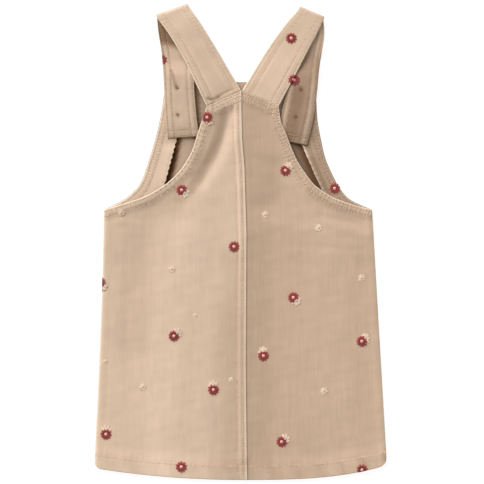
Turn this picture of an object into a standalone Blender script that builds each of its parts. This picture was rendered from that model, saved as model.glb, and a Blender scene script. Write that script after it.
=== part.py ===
"""A child's pinafore dress in fine needlecord, laid flat with its back up.

+X runs across the dress, +Y from the hem to the shoulders and +Z up from the
surface it lies on. The origin is on that surface, under the middle of the
dress. Tables and sizes are in millimetres, and MM turns them into metres.
"""

import math
from collections import namedtuple

import bmesh
import bpy
from mathutils import Vector
from mathutils.geometry import delaunay_2d_cdt

MM = 0.001

# Cloth thicknesses
WALL = 1.2  # one layer of needlecord
TURNED = 2.4  # an edge turned back on itself
STRAP_THICK = 2.2  # two layers sewn flat
FACING_THICK = 1.0  # the facing inside the front's armholes
GAP = 0.3  # between pieces that lie on or against each other
STEP = 1.5  # width over which a turned edge drops to one layer

# The cut
HEM_DEPTH = 16.0  # from the hem's fold to its stitching
EDGE_BAND = 8.0  # turned edge of the back's armholes
LAP_BAND = 7.0  # lapped centre back seam, on the left half
YOKE_BAND = 11.0  # stitched edge under the straps
FACING_WIDTH = 23.0
FACING_INSET = 0.8  # the facing's seam lies just inside the armhole edge
FACING_TOP = 182.0
HEM_Y = -273.4  # lowest point of the hem
HEM_HALF = 168.3  # half the hem's width
HEM_CORNER = 10.0  # rounding where the hem meets a side seam
ARMHOLE_Y = 37.2  # where the armholes meet the side seams
BIB_TOP = 184.0  # middle of the bib's upper edge
BIB_PEAK = 6.0  # how much higher its corners are
BIB_HALF = 85.0

# The buttons, on the far side of the bib, lie on the surface
BUTTON_RADIUS = 7.5
BUTTON_THICK = 2.2
BUTTON_DISH = 0.6
BUTTON_RIM = 1.6
BUTTON_EDGE = 0.5
BUTTON_SIDES = 20
BUTTON_FLAT = 9.0  # the bib lies level on a button to this distance
BUTTON_REACH = 38.0  # and is back on the surface at this one

# How the straps lie
BIB_CLEAR = 190.0  # a strap starts down to the surface past the bib's edge
BIB_DROP = 24.0  # and reaches it over this length
FOLD_LIFT = 6.0  # underside of a strap's upper run at its fold
SEAM_EASE = 25.0  # length over which a strap leaves the back's own height
LIFT_REACH = 30.0  # how far round a strap's end the back stays lifted
LIFT_EASE = 0.5  # air between a strap's end and the back over it

# Mesh sizes
EDGE_SPACING = 5.0
SKIRT_SPACING = 15.0
BODICE_SPACING = 7.5
BODICE_Y = 25.0  # the finer cloth starts just under the armholes
STITCH_SPACING = 7.5  # along the lines where a turned edge ends
FACING_SPACING = 7.0
EDGE_CLEAR = 0.55  # of a spacing, from a panel's edge to the scattered points
LINE_CLEAR = 0.5  # of a spacing, from a stitched line to them
LINE_INSET = 1.2  # from a panel's edge to the nearest point of a stitched line
BAND_SLACK = 0.3  # a point this far past a turned band still belongs to it
SAME_PLACE = 0.05  # points closer than this are one
CUT_TOLERANCE = 0.0001
CURVE_STEPS = 8
RUN_STEPS = 3
STRAP_COLUMNS = 6
FACING_COLUMNS = 5
BEND_STEPS = 8

Point = namedtuple("Point", "x y")
Half = namedtuple("Half", "name side chest flare flare_power hem_rise hem_power")
Section = namedtuple("Section", "outer_x outer_y inner_x inner_y")
Run = namedtuple("Run", "outer_x outer_y inner_x inner_y outer_lift inner_lift")
Strap = namedtuple("Strap", "name seam back_run fold front_run")
Fold = namedtuple("Fold", "start end width height")
Button = namedtuple("Button", "name x y")
Reach = namedtuple("Reach", "side inner_x end_y")
Level = namedtuple("Level", "height y")
Ease = namedtuple("Ease", "start end")
Share = namedtuple("Share", "share y")
Colour = namedtuple("Colour", "red green blue roughness")

CORD = Colour(0.62, 0.47, 0.34, 0.92)
CORD_INSIDE = Colour(0.56, 0.42, 0.30, 0.95)
HORN = Colour(0.36, 0.24, 0.15, 0.40)

# side is -1 or +1; chest is the half width at the armhole, flare what the hem adds
LEFT = Half("left", -1, 157.0, 11.3, 1.4, 13.5, 2.0)
RIGHT = Half("right", 1, 151.2, 17.1, 1.0, 17.0, 3.0)

CENTRE_SEAM = [
    Point(8.0, -273.4),
    Point(7.6, -258.0),
    Point(6.3, -143.5),
    Point(7.1, 10.0),
    Point(4.8, 86.0),
    Point(2.1, 118.7),
    Point(1.3, 150.0),
    Point(1.3, 173.7),
]

# Armhole edges run from the side seam up
BACK_ARMHOLE = {
    "left": [
        Point(-157.0, ARMHOLE_Y),
        Point(-142.0, 41.5),
        Point(-113.3, 50.9),
        Point(-98.3, 58.4),
        Point(-83.4, 68.4),
        Point(-69.6, 82.1),
        Point(-60.8, 95.0),
        Point(-54.6, 107.4),
        Point(-49.6, 123.6),
        Point(-42.1, 146.0),
        Point(-39.0, 155.5),
    ],
    "right": [
        Point(151.2, ARMHOLE_Y),
        Point(133.9, 41.5),
        Point(107.5, 50.9),
        Point(87.7, 63.4),
        Point(77.6, 74.8),
        Point(65.2, 93.7),
        Point(59.0, 107.4),
        Point(52.8, 123.6),
        Point(47.2, 136.2),
        Point(44.0, 155.5),
    ],
}
FRONT_ARMHOLE = {
    "left": [
        Point(-157.0, ARMHOLE_Y),
        Point(-135.1, 48.3),
        Point(-121.3, 59.8),
        Point(-113.3, 71.3),
        Point(-105.2, 94.3),
        Point(-98.3, 117.3),
        Point(-92.6, 140.3),
        Point(-88.5, 165.0),
        Point(-BIB_HALF, BIB_TOP + BIB_PEAK),
    ],
    "right": [
        Point(151.2, ARMHOLE_Y),
        Point(127.1, 48.3),
        Point(115.6, 59.8),
        Point(108.7, 71.3),
        Point(98.3, 94.3),
        Point(92.6, 117.3),
        Point(88.5, 140.3),
        Point(87.0, 165.0),
        Point(BIB_HALF, BIB_TOP + BIB_PEAK),
    ],
}

# Each strap runs from its seam on the back up to its fold, and down inside the bib
STRAPS = [
    Strap(
        "strap_left",
        Section(-39.0, 155.5, 0.9, 173.7),
        [
            Run(-49.2, 177.1, -11.5, 194.3, 6.9, 4.3),
            Run(-59.4, 199.0, -23.3, 214.6, 6.6, 4.6),
            Run(-71.4, 220.9, -35.4, 234.6, 5.9, 5.1),
            Run(-84.0, 241.0, -47.8, 254.4, 5.9, 5.7),
        ],
        Section(-97.2, 261.0, -60.7, 273.9),
        [
            Section(-94.2, 241.0, -58.4, 249.0),
            Section(-90.6, 218.0, -55.6, 222.0),
            Section(-88.6, 195.0, -53.6, 197.0),
            Section(-87.6, 172.0, -52.8, 173.0),
            Section(-86.7, 146.0, -50.6, 147.0),
            Section(-84.1, 118.9, -47.5, 121.0),
        ],
    ),
    Strap(
        "strap_right",
        Section(44.0, 155.5, 1.8, 173.7),
        [
            Run(55.2, 176.7, 14.0, 194.3, 7.6, 4.3),
            Run(65.8, 196.9, 26.8, 215.0, 7.0, 4.6),
            Run(76.6, 218.1, 39.5, 234.2, 5.8, 5.1),
            Run(87.0, 238.0, 53.6, 252.7, 5.9, 5.7),
        ],
        Section(96.6, 258.9, 68.2, 270.6),
        [
            Section(96.2, 238.0, 64.0, 248.0),
            Section(92.8, 215.0, 59.5, 222.0),
            Section(90.0, 195.0, 56.5, 198.0),
            Section(87.9, 172.0, 52.5, 173.0),
            Section(84.8, 146.0, 47.0, 147.0),
            Section(76.5, 110.4, 41.0, 117.5),
        ],
    ),
]

# Where the strap ends lie under the back: the edge nearest the middle, and the end
STRAP_ENDS = [Reach(-1, -46.0, 117.0), Reach(1, 41.0, 109.5)]

BUTTONS = [
    Button("button_left_upper", -73.0, 177.1),
    Button("button_left_lower", -71.9, 145.5),
    Button("button_right_upper", 69.6, 175.0),
    Button("button_right_lower", 63.4, 143.2),
]

# Underside of the back over the front, from the hem up
BACK_REST = [
    Level(1.5, HEM_Y),
    Level(1.5, -25.0),
    Level(2.8, 12.0),
    Level(2.9, 42.0),
    Level(4.2, 80.0),
    Level(4.3, 174.0),
]

# Largest soft folds of the back, ridges above and troughs below its own height
FOLDS = [
    Fold(Point(-116.0, 50.0), Point(-86.0, 71.0), 13.0, 2.1),
    Fold(Point(114.0, 48.0), Point(86.0, 69.0), 13.0, 2.1),
    Fold(Point(-12.5, 147.0), Point(-21.0, 114.0), 8.0, -2.3),
    Fold(Point(-26.0, 101.0), Point(-45.0, 69.0), 8.0, -2.1),
    Fold(Point(-2.0, 118.0), Point(-24.0, 78.0), 10.0, 0.6),
    Fold(Point(6.0, 52.0), Point(7.0, -245.0), 20.0, 1.4),
    Fold(Point(-36.0, 50.0), Point(-62.0, 14.0), 22.0, 1.5),
    Fold(Point(-76.0, -24.0), Point(-104.0, -101.0), 27.0, 2.3),
    Fold(Point(-100.0, -150.0), Point(-87.0, -205.0), 26.0, 1.9),
    Fold(Point(92.0, -20.0), Point(84.0, -215.0), 32.0, 2.0),
]

# The facing's free edge stands up between the strap's end and the back
CURL = 3.4
CURL_IN = Ease(50.0, 75.0)  # where it starts up the armhole, and is full
CURL_OUT = {"left": Ease(103.0, 115.5), "right": Ease(96.0, 107.5)}

# How far each facing reaches over the front, against its usual width
FACING_REACH = {
    "left": [Share(1.15, 50.0), Share(1.08, 80.0), Share(1.04, 94.0), Share(1.0, 117.0)],
    "right": [Share(0.84, 50.0), Share(0.76, 72.0), Share(0.77, 94.0), Share(0.95, 117.0), Share(1.0, 135.0)],
}


def smooth(t):
    """Ease from 0 to 1."""
    t = min(max(t, 0.0), 1.0)
    return t * t * (3.0 - 2.0 * t)


def fade(distance, flat, reach):
    """1 up to a distance of flat, easing to 0 at reach."""
    return 1.0 - smooth((distance - flat) / (reach - flat))


def ramp(table, y):
    """The first column of a table at y, in straight lines between its rows."""
    for (low, low_y), (high, high_y) in zip(table, table[1:]):
        if y <= high_y:
            share = max(0.0, (y - low_y) / (high_y - low_y))
            return low + (high - low) * share
    return table[-1][0]


def catmull(before, start, end, after, t):
    """One value of a smooth curve that passes through start and end."""
    return 0.5 * (
        2.0 * start
        + (end - before) * t
        + (2.0 * before - 5.0 * start + 4.0 * end - after) * t * t
        + (3.0 * start - before - 3.0 * end + after) * t * t * t
    )


def through(rows, steps):
    """A smooth curve through the rows of a table, with steps spans to each."""
    curve = []
    for i, (start, end) in enumerate(zip(rows, rows[1:])):
        before = rows[max(i - 1, 0)]
        after = rows[min(i + 2, len(rows) - 1)]
        for k in range(steps):
            values = zip(before, start, end, after)
            curve.append(tuple(catmull(*four, k / steps) for four in values))
    curve.append(tuple(rows[-1]))
    return curve


def spaced(points, spacing):
    """Points at even distances along a smooth curve through the given ones."""
    curve = through(points, CURVE_STEPS)
    lengths = [math.dist(a, b) for a, b in zip(curve, curve[1:])]
    count = max(1, round(sum(lengths) / spacing))
    pitch = sum(lengths) / count
    placed, walked = [Point(*curve[0])], 0.0
    for (a, b), length in zip(zip(curve, curve[1:]), lengths):
        while len(placed) < count and len(placed) * pitch <= walked + length:
            share = (len(placed) * pitch - walked) / length
            placed.append(Point(*Vector(a).lerp(Vector(b), share)))
        walked += length
    return placed + [Point(*curve[-1])]


def segment_distance(x, y, start, end):
    """Distance from a place to a straight line between two points."""
    run = Vector((end.x - start.x, end.y - start.y))
    away = Vector((x - start.x, y - start.y))
    share = min(max(away.dot(run) / run.length_squared, 0.0), 1.0)
    return (away - run * share).length


def edge_distance(x, y, line):
    """Distance from a place to the nearest stretch of a line of points."""
    return min(segment_distance(x, y, a, b) for a, b in zip(line, line[1:]))


def side_x(half, y):
    """The side seam, which flares from the armhole to the hem."""
    drop = max(0.0, (ARMHOLE_Y - y) / (ARMHOLE_Y - HEM_Y - half.hem_rise))
    return half.side * (half.chest + half.flare * drop**half.flare_power)


def hem_line(x):
    """The hem, which curves up towards each side seam."""
    half = LEFT if x < 0 else RIGHT
    return HEM_Y + half.hem_rise * (abs(x) / HEM_HALF) ** half.hem_power


def seam_x(y):
    """Where the centre back seam runs."""
    return ramp(CENTRE_SEAM, y)


def bib_top(x):
    """The bib's upper edge, a little higher at its corners."""
    return BIB_TOP + BIB_PEAK * (x / BIB_HALF) ** 2


def bib_lift(x, y):
    """How far the buttons under the bib hold it off the surface."""
    level = 1.0
    for button in BUTTONS:
        away = math.hypot(x - button.x, y - button.y)
        level *= 1.0 - fade(away, BUTTON_FLAT, BUTTON_REACH)
    return (BUTTON_THICK + GAP) * (1.0 - level)


def strap_seat(x, y):
    """Underside of a strap's lower run: on the facing, then on the surface."""
    over_bib = bib_lift(x, y) + WALL + FACING_THICK + 2.0 * GAP
    return over_bib * (1.0 - smooth((y - BIB_CLEAR) / BIB_DROP))


def hem_share(x, y):
    """1 in the turned hem, 0 above it."""
    return fade(y - hem_line(x), HEM_DEPTH + BAND_SLACK, HEM_DEPTH + STEP)


def back_seat(x, y):
    """Underside of the back: over the front, its folds and the strap ends."""
    height = ramp(BACK_REST, y) + (TURNED - WALL) * hem_share(x, y)
    for fold in FOLDS:
        away = segment_distance(x, y, fold.start, fold.end)
        height += fold.height * math.exp(-((away / fold.width) ** 2))
    over_strap = bib_lift(x, y) + WALL + FACING_THICK + STRAP_THICK + 3.0 * GAP + LIFT_EASE
    for end in STRAP_ENDS:
        beside = max(0.0, end.side * (end.inner_x - x))
        below = max(0.0, end.end_y - y)
        share = fade(math.hypot(beside, below), 0.0, LIFT_REACH)
        height += max(0.0, over_strap - height) * share
    return height


def front_seat(x, y):
    """Underside of the front, flat on the surface but for the buttons."""
    return bib_lift(x, y)


def side_edge(half):
    """Side seam from the hem's rounded corner up to the armhole."""
    hem_x = half.side * (HEM_HALF - HEM_CORNER)
    corner_x = half.side * HEM_HALF
    low = Point(hem_x, hem_line(hem_x))
    corner = Point(corner_x, hem_line(corner_x))
    rise = corner.y + HEM_CORNER
    high = Point(side_x(half, rise), rise)
    rounded = Point(
        (low.x + 2.0 * corner.x + high.x) / 4.0,
        (low.y + 2.0 * corner.y + high.y) / 4.0,
    )
    stitching = hem_line(corner_x) + HEM_DEPTH
    above = stitching + STEP
    count = round((ARMHOLE_Y - above) / SKIRT_SPACING)
    climb = [rise, stitching] + [above + (ARMHOLE_Y - above) * k / count for k in range(count + 1)]
    return [low, rounded] + [Point(side_x(half, y), y) for y in climb]


def hem_edge(start_x, end_x, spacing):
    """Hem points from one x to another, both included."""
    count = round(abs(end_x - start_x) / spacing)
    places = [start_x + (end_x - start_x) * k / count for k in range(count + 1)]
    return [Point(x, hem_line(x)) for x in places]


def joined(*lines):
    """Lines end to end as one loop, without the points they share."""
    loop = []
    for line in lines:
        for point in line:
            if not loop or math.dist(point, loop[-1]) > SAME_PLACE:
                loop.append(point)
    if math.dist(loop[0], loop[-1]) < SAME_PLACE:
        loop.pop()
    return loop


def inside(x, y, loop):
    """Whether a place is inside a loop of points."""
    within = False
    for a, b in zip(loop, loop[1:] + loop[:1]):
        if (a.y > y) != (b.y > y) and x < a.x + (b.x - a.x) * (y - a.y) / (b.y - a.y):
            within = not within
    return within


def scatter(loop, spacing, low, high):
    """Places of an even triangular pattern inside a loop, between two heights."""
    row_height = spacing * math.sqrt(3.0) / 2.0
    left = min(p.x for p in loop)
    right = max(p.x for p in loop)
    for row in range(math.ceil((high - low) / row_height)):
        y = low + (row + 0.5) * row_height
        for column in range(math.ceil((right - left) / spacing) + 1):
            x = left + (column + 0.5 * (row % 2)) * spacing
            if y < high and inside(x, y, loop):
                yield x, y


def cloth_points(loop, guides):
    """Points over a panel: its edge, its stitched lines, and an even scatter."""
    closed = loop + loop[:1]
    lines = []
    for x, y in guides:
        if inside(x, y, loop) and edge_distance(x, y, closed) > LINE_INSET:
            lines.append(Point(x, y))
    low = min(p.y for p in loop)
    high = max(p.y for p in loop)
    filling = []
    for spacing, start, end in ((SKIRT_SPACING, low, BODICE_Y), (BODICE_SPACING, BODICE_Y, high)):
        for x, y in scatter(loop, spacing, start, end):
            clear_of_edge = edge_distance(x, y, closed) > EDGE_CLEAR * spacing
            if clear_of_edge and all(math.dist((x, y), p) > LINE_CLEAR * spacing for p in lines):
                filling.append(Point(x, y))
    return loop + lines + filling


def offset_line(line, side, distance):
    """A line moved towards the cloth, which lies below an armhole edge."""
    moved = []
    for i, point in enumerate(line):
        before, after = line[max(i - 1, 0)], line[min(i + 1, len(line) - 1)]
        run = Vector((after.x - before.x, after.y - before.y)).normalized()
        moved.append(Point(point.x - side * run.y * distance, point.y + side * run.x * distance))
    return moved


def make_material(name, colour):
    """A plain material, since a solid here needs only its main colour."""
    material = bpy.data.materials.new(name)
    material.use_nodes = True
    shader = material.node_tree.nodes["Principled BSDF"]
    shader.inputs["Base Color"].default_value = (colour.red, colour.green, colour.blue, 1.0)
    shader.inputs["Roughness"].default_value = colour.roughness
    shader.inputs["Metallic"].default_value = 0.0
    return material


def add_object(name, mesh, colour, collection):
    """An object named for its piece, with its own material."""
    mesh.name = name
    mesh.materials.append(make_material(name, colour))
    piece = bpy.data.objects.new(name, mesh)
    collection.objects.link(piece)
    return piece


def thicken(piece, thickness, offset):
    """Give a surface its wall: above it for an offset of 1, about it for 0."""
    wall = piece.modifiers.new("wall", "SOLIDIFY")
    wall.thickness = thickness * MM
    wall.offset = offset
    wall.use_even_offset = True
    wall.use_rim = True
    return wall


def thicken_turned(piece, turned_points):
    """One layer of cloth, and two where an edge is turned back."""
    group = piece.vertex_groups.new(name="turned")
    group.add(turned_points, 1.0, "REPLACE")
    wall = thicken(piece, TURNED, 1.0)
    wall.vertex_group = group.name
    wall.thickness_vertex_group = WALL / TURNED


def make_panel(name, loop, guides, height, is_turned, collection):
    """A flat-cut panel laid at its own height, with its turned edges thicker."""
    points = cloth_points(loop, guides)
    outline = [list(range(len(loop)))]
    flat = [Vector(p) for p in points]
    cut = delaunay_2d_cdt(flat, [], outline, 1, CUT_TOLERANCE)
    places, faces = cut[0], cut[2]
    mesh = bpy.data.meshes.new(name)
    mesh.from_pydata([Vector((x, y, height(x, y))) * MM for x, y in places], [], faces)
    piece = add_object(name, mesh, CORD, collection)
    turned = [i for i, (x, y) in enumerate(places) if is_turned(x, y)]
    thicken_turned(piece, turned)
    return piece


def double(line, move):
    """A stitched line and the line where its second layer ends."""
    return line + [move(p) for p in line]


def hem_guides():
    """The hem's stitching and the end of its second layer, across the whole skirt."""
    stitching = [Point(p.x, p.y + HEM_DEPTH) for p in hem_edge(-HEM_HALF, HEM_HALF, STITCH_SPACING)]
    return double(stitching, lambda p: Point(p.x, p.y + STEP))


def centre_seam():
    """The centre back seam from the hem up, with a point at each line of the hem."""
    stitching = HEM_Y + HEM_DEPTH
    lines = [Point(seam_x(y), y) for y in (HEM_Y, stitching, stitching + STEP)]
    above = [p for p in spaced(CENTRE_SEAM, STITCH_SPACING) if p.y > lines[-1].y + STEP]
    return lines + above


def make_back(half, collection):
    """One half of the back, from the side seam to the centre back seam."""
    side = half.side
    strap = STRAPS[0] if half is LEFT else STRAPS[1]
    yoke = [
        Point(strap.seam.outer_x, strap.seam.outer_y),
        Point(strap.seam.inner_x, strap.seam.inner_y),
    ]
    seam = [Point(x + side * GAP / 2, y) for x, y in centre_seam()]
    armhole = spaced(BACK_ARMHOLE[half.name], EDGE_SPACING)
    hem = hem_edge(seam[0].x, side * (HEM_HALF - HEM_CORNER), SKIRT_SPACING)
    loop = joined(hem, side_edge(half), armhole, spaced(yoke, EDGE_SPACING), seam[::-1])

    def yoke_line(depth):
        return offset_line(spaced(yoke, EDGE_SPACING), side, depth)

    guides = hem_guides()
    guides += offset_line(armhole, side, EDGE_BAND) + offset_line(armhole, side, EDGE_BAND + STEP)
    guides += yoke_line(YOKE_BAND) + yoke_line(YOKE_BAND + STEP)
    if half is LEFT:
        guides += [Point(x - LAP_BAND, y) for x, y in seam]
        guides += [Point(x - LAP_BAND - STEP, y) for x, y in seam]

    def is_turned(x, y):
        near_lap = half is LEFT and seam_x(y) - x < LAP_BAND + BAND_SLACK
        near_armhole = edge_distance(x, y, armhole) < EDGE_BAND + BAND_SLACK
        near_yoke = segment_distance(x, y, *yoke) < YOKE_BAND + BAND_SLACK
        return near_lap or near_armhole or near_yoke or hem_share(x, y) > 0.5

    make_panel("back_" + half.name, loop, guides, back_seat, is_turned, collection)


def make_front(collection):
    """The front in one piece, from the hem to the bib's upper edge."""
    reach = HEM_HALF - HEM_CORNER
    bib = [Point(x, bib_top(x)) for x in (BIB_HALF, BIB_HALF / 2, 0.0, -BIB_HALF / 2, -BIB_HALF)]
    right = spaced(FRONT_ARMHOLE["right"], EDGE_SPACING)
    left = spaced(FRONT_ARMHOLE["left"], EDGE_SPACING)
    loop = joined(
        hem_edge(-reach, reach, SKIRT_SPACING),
        side_edge(RIGHT),
        right,
        spaced(bib, SKIRT_SPACING),
        left[::-1],
        side_edge(LEFT)[::-1],
    )

    def is_turned(x, y):
        return hem_share(x, y) > 0.5

    make_panel("front", loop, hem_guides(), front_seat, is_turned, collection)


def surface_grid(name, rows, columns, place):
    """A grid with each of its points put where place(row, column) says."""
    mesh = bpy.data.meshes.new(name)
    bm = bmesh.new()
    bmesh.ops.create_grid(bm, x_segments=columns - 1, y_segments=rows - 1, size=0.5)
    for vertex in bm.verts:
        column = round((vertex.co.x + 0.5) * (columns - 1))
        row = round((vertex.co.y + 0.5) * (rows - 1))
        vertex.co = Vector(place(row, column)) * MM
    bm.to_mesh(mesh)
    bm.free()
    return mesh


def curl(half, share, y):
    """How far the facing's cloth stands up, at a share of its width."""
    rising = smooth((y - CURL_IN.start) / (CURL_IN.end - CURL_IN.start))
    fading = fade(y, CURL_OUT[half.name].start, CURL_OUT[half.name].end)
    return CURL * rising * fading * share * share


def make_facing(half, collection):
    """The strip inside the front's armhole, made from the front's own edge."""
    edge = [p for p in spaced(FRONT_ARMHOLE[half.name], FACING_SPACING) if p.y < FACING_TOP]
    seam = offset_line(edge, half.side, FACING_INSET)
    free = offset_line(edge, half.side, FACING_INSET + FACING_WIDTH)
    low = edge[0].y - FACING_INSET
    seam[0] = Point(side_x(half, low) - half.side * FACING_INSET, low)
    low -= FACING_WIDTH
    free[0] = Point(side_x(half, low) - half.side * FACING_INSET, low)

    def place(row, column):
        share = column / (FACING_COLUMNS - 1)
        if half is RIGHT:
            share = 1.0 - share
        reach = share * ramp(FACING_REACH[half.name], edge[row].y)
        x = seam[row].x + (free[row].x - seam[row].x) * reach
        y = seam[row].y + (free[row].y - seam[row].y) * reach
        return x, y, front_seat(x, y) + WALL + GAP + curl(half, share, y)

    name = "front_facing_" + half.name
    mesh = surface_grid(name, len(edge), FACING_COLUMNS, place)
    thicken(add_object(name, mesh, CORD_INSIDE, collection), FACING_THICK, 1.0)


def strap_turn(strap):
    """The row where a strap leaves its flat runs, and the way its fold bulges."""
    fold = strap.fold
    along = Vector((fold.inner_x - fold.outer_x, fold.inner_y - fold.outer_y)).normalized()
    outward = Vector((-along.y, along.x))
    if outward.y < 0:
        outward.negate()
    x, y = outward * (FOLD_LIFT + STRAP_THICK) / 2.0
    turn = Section(fold.outer_x - x, fold.outer_y - y, fold.inner_x - x, fold.inner_y - y)
    return turn, outward


def strap_rows(strap):
    """Rows along a strap: its two edges, and a rule for the underside's height across it."""
    turn, outward = strap_turn(strap)
    seam, first = strap.seam, strap.back_run[0]
    clear = Vector((first.inner_x - seam.inner_x, first.inner_y - seam.inner_y)).normalized() * GAP
    sewn = Run(
        seam.outer_x + clear.x,
        seam.outer_y + clear.y,
        seam.inner_x + clear.x,
        seam.inner_y + clear.y,
        first.outer_lift,
        first.inner_lift,
    )
    upper = [sewn] + strap.back_run + [Run(*turn, FOLD_LIFT, FOLD_LIFT)]
    for *edges, outer_lift, inner_lift in through(upper, RUN_STEPS):
        hold = fade(math.dist(edges[:2], sewn[:2]), 0.0, SEAM_EASE)

        def above_back(x, y, share, outer=outer_lift, inner=inner_lift, hold=hold):
            lift = outer + (inner - outer) * share
            return lift + (back_seat(x, y) - lift) * hold

        yield Section(*edges), above_back
    radius = FOLD_LIFT / 2.0
    for step in range(1, BEND_STEPS):
        angle = math.pi * step / BEND_STEPS
        x, y = outward * radius * math.sin(angle)
        height = radius * (1.0 + math.cos(angle))
        edges = Section(turn.outer_x + x, turn.outer_y + y, turn.inner_x + x, turn.inner_y + y)
        yield edges, lambda x, y, share, height=height: height
    for edges in through([turn] + strap.front_run, RUN_STEPS):
        yield Section(*edges), lambda x, y, share: strap_seat(x, y)


def make_strap(strap, collection):
    """A strap from its seam on the back, over its fold, to its end in the bib."""
    rows = list(strap_rows(strap))

    def place(row, column):
        share = column / (STRAP_COLUMNS - 1)
        edges, height = rows[row]
        x = edges.outer_x + (edges.inner_x - edges.outer_x) * share
        y = edges.outer_y + (edges.inner_y - edges.outer_y) * share
        return x, y, height(x, y, share) + STRAP_THICK / 2.0

    mesh = surface_grid(strap.name, len(rows), STRAP_COLUMNS, place)
    thicken(add_object(strap.name, mesh, CORD, collection), STRAP_THICK, 0.0)


def make_button(button, collection):
    """A turned button with a dished face, lying face down under the bib."""
    dish_radius = BUTTON_RADIUS - BUTTON_RIM
    profile = [
        (0.0, BUTTON_THICK),
        (BUTTON_RADIUS - BUTTON_EDGE, BUTTON_THICK),
        (BUTTON_RADIUS, BUTTON_THICK - BUTTON_EDGE),
        (BUTTON_RADIUS, BUTTON_EDGE),
        (BUTTON_RADIUS - BUTTON_EDGE, 0.0),
        (dish_radius, 0.0),
        (dish_radius - BUTTON_EDGE, BUTTON_DISH),
        (0.0, BUTTON_DISH),
    ]
    mesh = bpy.data.meshes.new(button.name)
    places = [(r * MM, 0.0, z * MM) for r, z in profile]
    mesh.from_pydata(places, [(i, i + 1) for i in range(len(places) - 1)], [])
    piece = add_object(button.name, mesh, HORN, collection)
    piece.location = (button.x * MM, button.y * MM, 0.0)
    turned = piece.modifiers.new("turned", "SCREW")
    turned.steps = BUTTON_SIDES
    turned.render_steps = BUTTON_SIDES
    turned.use_merge_vertices = True
    turned.merge_threshold = SAME_PLACE * MM
    turned.use_smooth_shade = False


def main():
    """Make every piece of the dress in an empty scene."""
    for old in list(bpy.data.objects):
        bpy.data.objects.remove(old, do_unlink=True)
    dress = bpy.data.collections.new("pinafore_dress")
    bpy.context.scene.collection.children.link(dress)
    make_front(dress)
    for half in (LEFT, RIGHT):
        make_facing(half, dress)
        make_back(half, dress)
    for strap in STRAPS:
        make_strap(strap, dress)
    for button in BUTTONS:
        make_button(button, dress)


main()
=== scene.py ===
"""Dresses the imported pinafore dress: fine cloth, stitching, embroidery and a plain stage.

The dress is laid flat with its back up. +X runs across it, +Y from the hem to the
shoulders and +Z up from the floor. Tables and sizes are in millimetres, as in the
part's own source, and MM turns them into metres.
"""

import math
from collections import namedtuple
from functools import partial

import bpy
import numpy as np
from bpy.props import FloatProperty, FloatVectorProperty, PointerProperty
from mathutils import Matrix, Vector, kdtree
from mathutils.geometry import delaunay_2d_cdt


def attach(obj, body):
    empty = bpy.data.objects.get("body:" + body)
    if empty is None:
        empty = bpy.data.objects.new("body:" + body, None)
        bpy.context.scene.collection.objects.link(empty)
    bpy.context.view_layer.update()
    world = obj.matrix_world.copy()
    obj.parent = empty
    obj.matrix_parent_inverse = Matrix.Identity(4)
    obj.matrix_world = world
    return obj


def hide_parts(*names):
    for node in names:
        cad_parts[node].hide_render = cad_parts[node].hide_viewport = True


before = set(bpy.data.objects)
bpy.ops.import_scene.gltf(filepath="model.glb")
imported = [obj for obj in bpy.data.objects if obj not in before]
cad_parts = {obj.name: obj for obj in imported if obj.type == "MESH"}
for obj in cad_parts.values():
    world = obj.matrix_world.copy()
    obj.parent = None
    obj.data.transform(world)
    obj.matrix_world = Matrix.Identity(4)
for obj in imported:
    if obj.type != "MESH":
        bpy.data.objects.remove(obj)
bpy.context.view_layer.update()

bl_info = {
    "name": "Needlecord pinafore dress",
    "version": (1, 0, 0),
    "blender": (4, 5, 0),
    "location": "3D View > Sidebar > Pinafore",
    "description": "Builds the cloth, stitching and embroidery of a child's pinafore dress",
    "category": "Object",
}

MM = 0.001
BODY = "root"
UP = np.array([0.0, 0.0, 1.0])

# Cloth thicknesses and the cut, as in the solids
WALL = 1.2
TURNED = 2.4
STRAP_THICK = 2.2
FACING_THICK = 1.0
GAP = 0.3
STEP = 1.5
HEM_DEPTH = 16.0
LAP_BAND = 7.4
FACING_WIDTH = 23.0
FACING_INSET = 0.8
FACING_TOP = 182.0
HEM_Y = -273.4
HEM_HALF = 168.3
HEM_CORNER = 10.0
ARMHOLE_Y = 37.2
BIB_TOP = 184.0
BIB_PEAK = 6.0
BIB_HALF = 85.0
BUTTON_THICK = 2.2
BUTTON_FLAT = 9.0
BUTTON_REACH = 38.0
BIB_CLEAR = 190.0
BIB_DROP = 24.0
FOLD_LIFT = 6.0
SEAM_EASE = 25.0
LIFT_REACH = 30.0
LIFT_EASE = 0.5

# Fineness of the cloth shells
OUTLINE_SPACING = 1.6
BACK_SPACING = 2.3
FRONT_SPACING = 3.6
STRAP_STEPS = 12
STRAP_BEND_STEPS = 18
FACING_SPACING = 1.6
ON_OUTLINE = 0.02  # points this near an outline are on it
CURVE_STEPS = 8
UNDER = 0.4  # the front's outside stays this far off the floor, for its embroidery
STRAP_CLEAR = 0.45  # and so does the straps' outside, for its stitches

# How far from an edge each kind of border gets its own lines of points
EDGE_LINES = (0.15, 0.45, 0.9, 1.4)
STITCHED_LINES = EDGE_LINES + (2, 2.7, 3.6, 4.7, 5.9, 7, 7.7, 8.4, 9.1, 10, 11.2)
BIB_LINES = EDGE_LINES + (2, 3, 5.5, 8.2, 10.5)
SIDE_LINES = EDGE_LINES + (2.2, 3.4, 6, 8, 9.5)
LAP_LINES = EDGE_LINES + (2, 2.7, 3.5, 4.2, 4.9, 5.9, 7.2, 8.4, 9.4, 10.2, 11)
HEM_LINES = EDGE_LINES + (2.2, 3.4, 5, 6.8, 8.6, 10.4, 12.2, 13.8, 14.9, 15.6, 16.3, 17.1, 18.2, 19.6)

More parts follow.
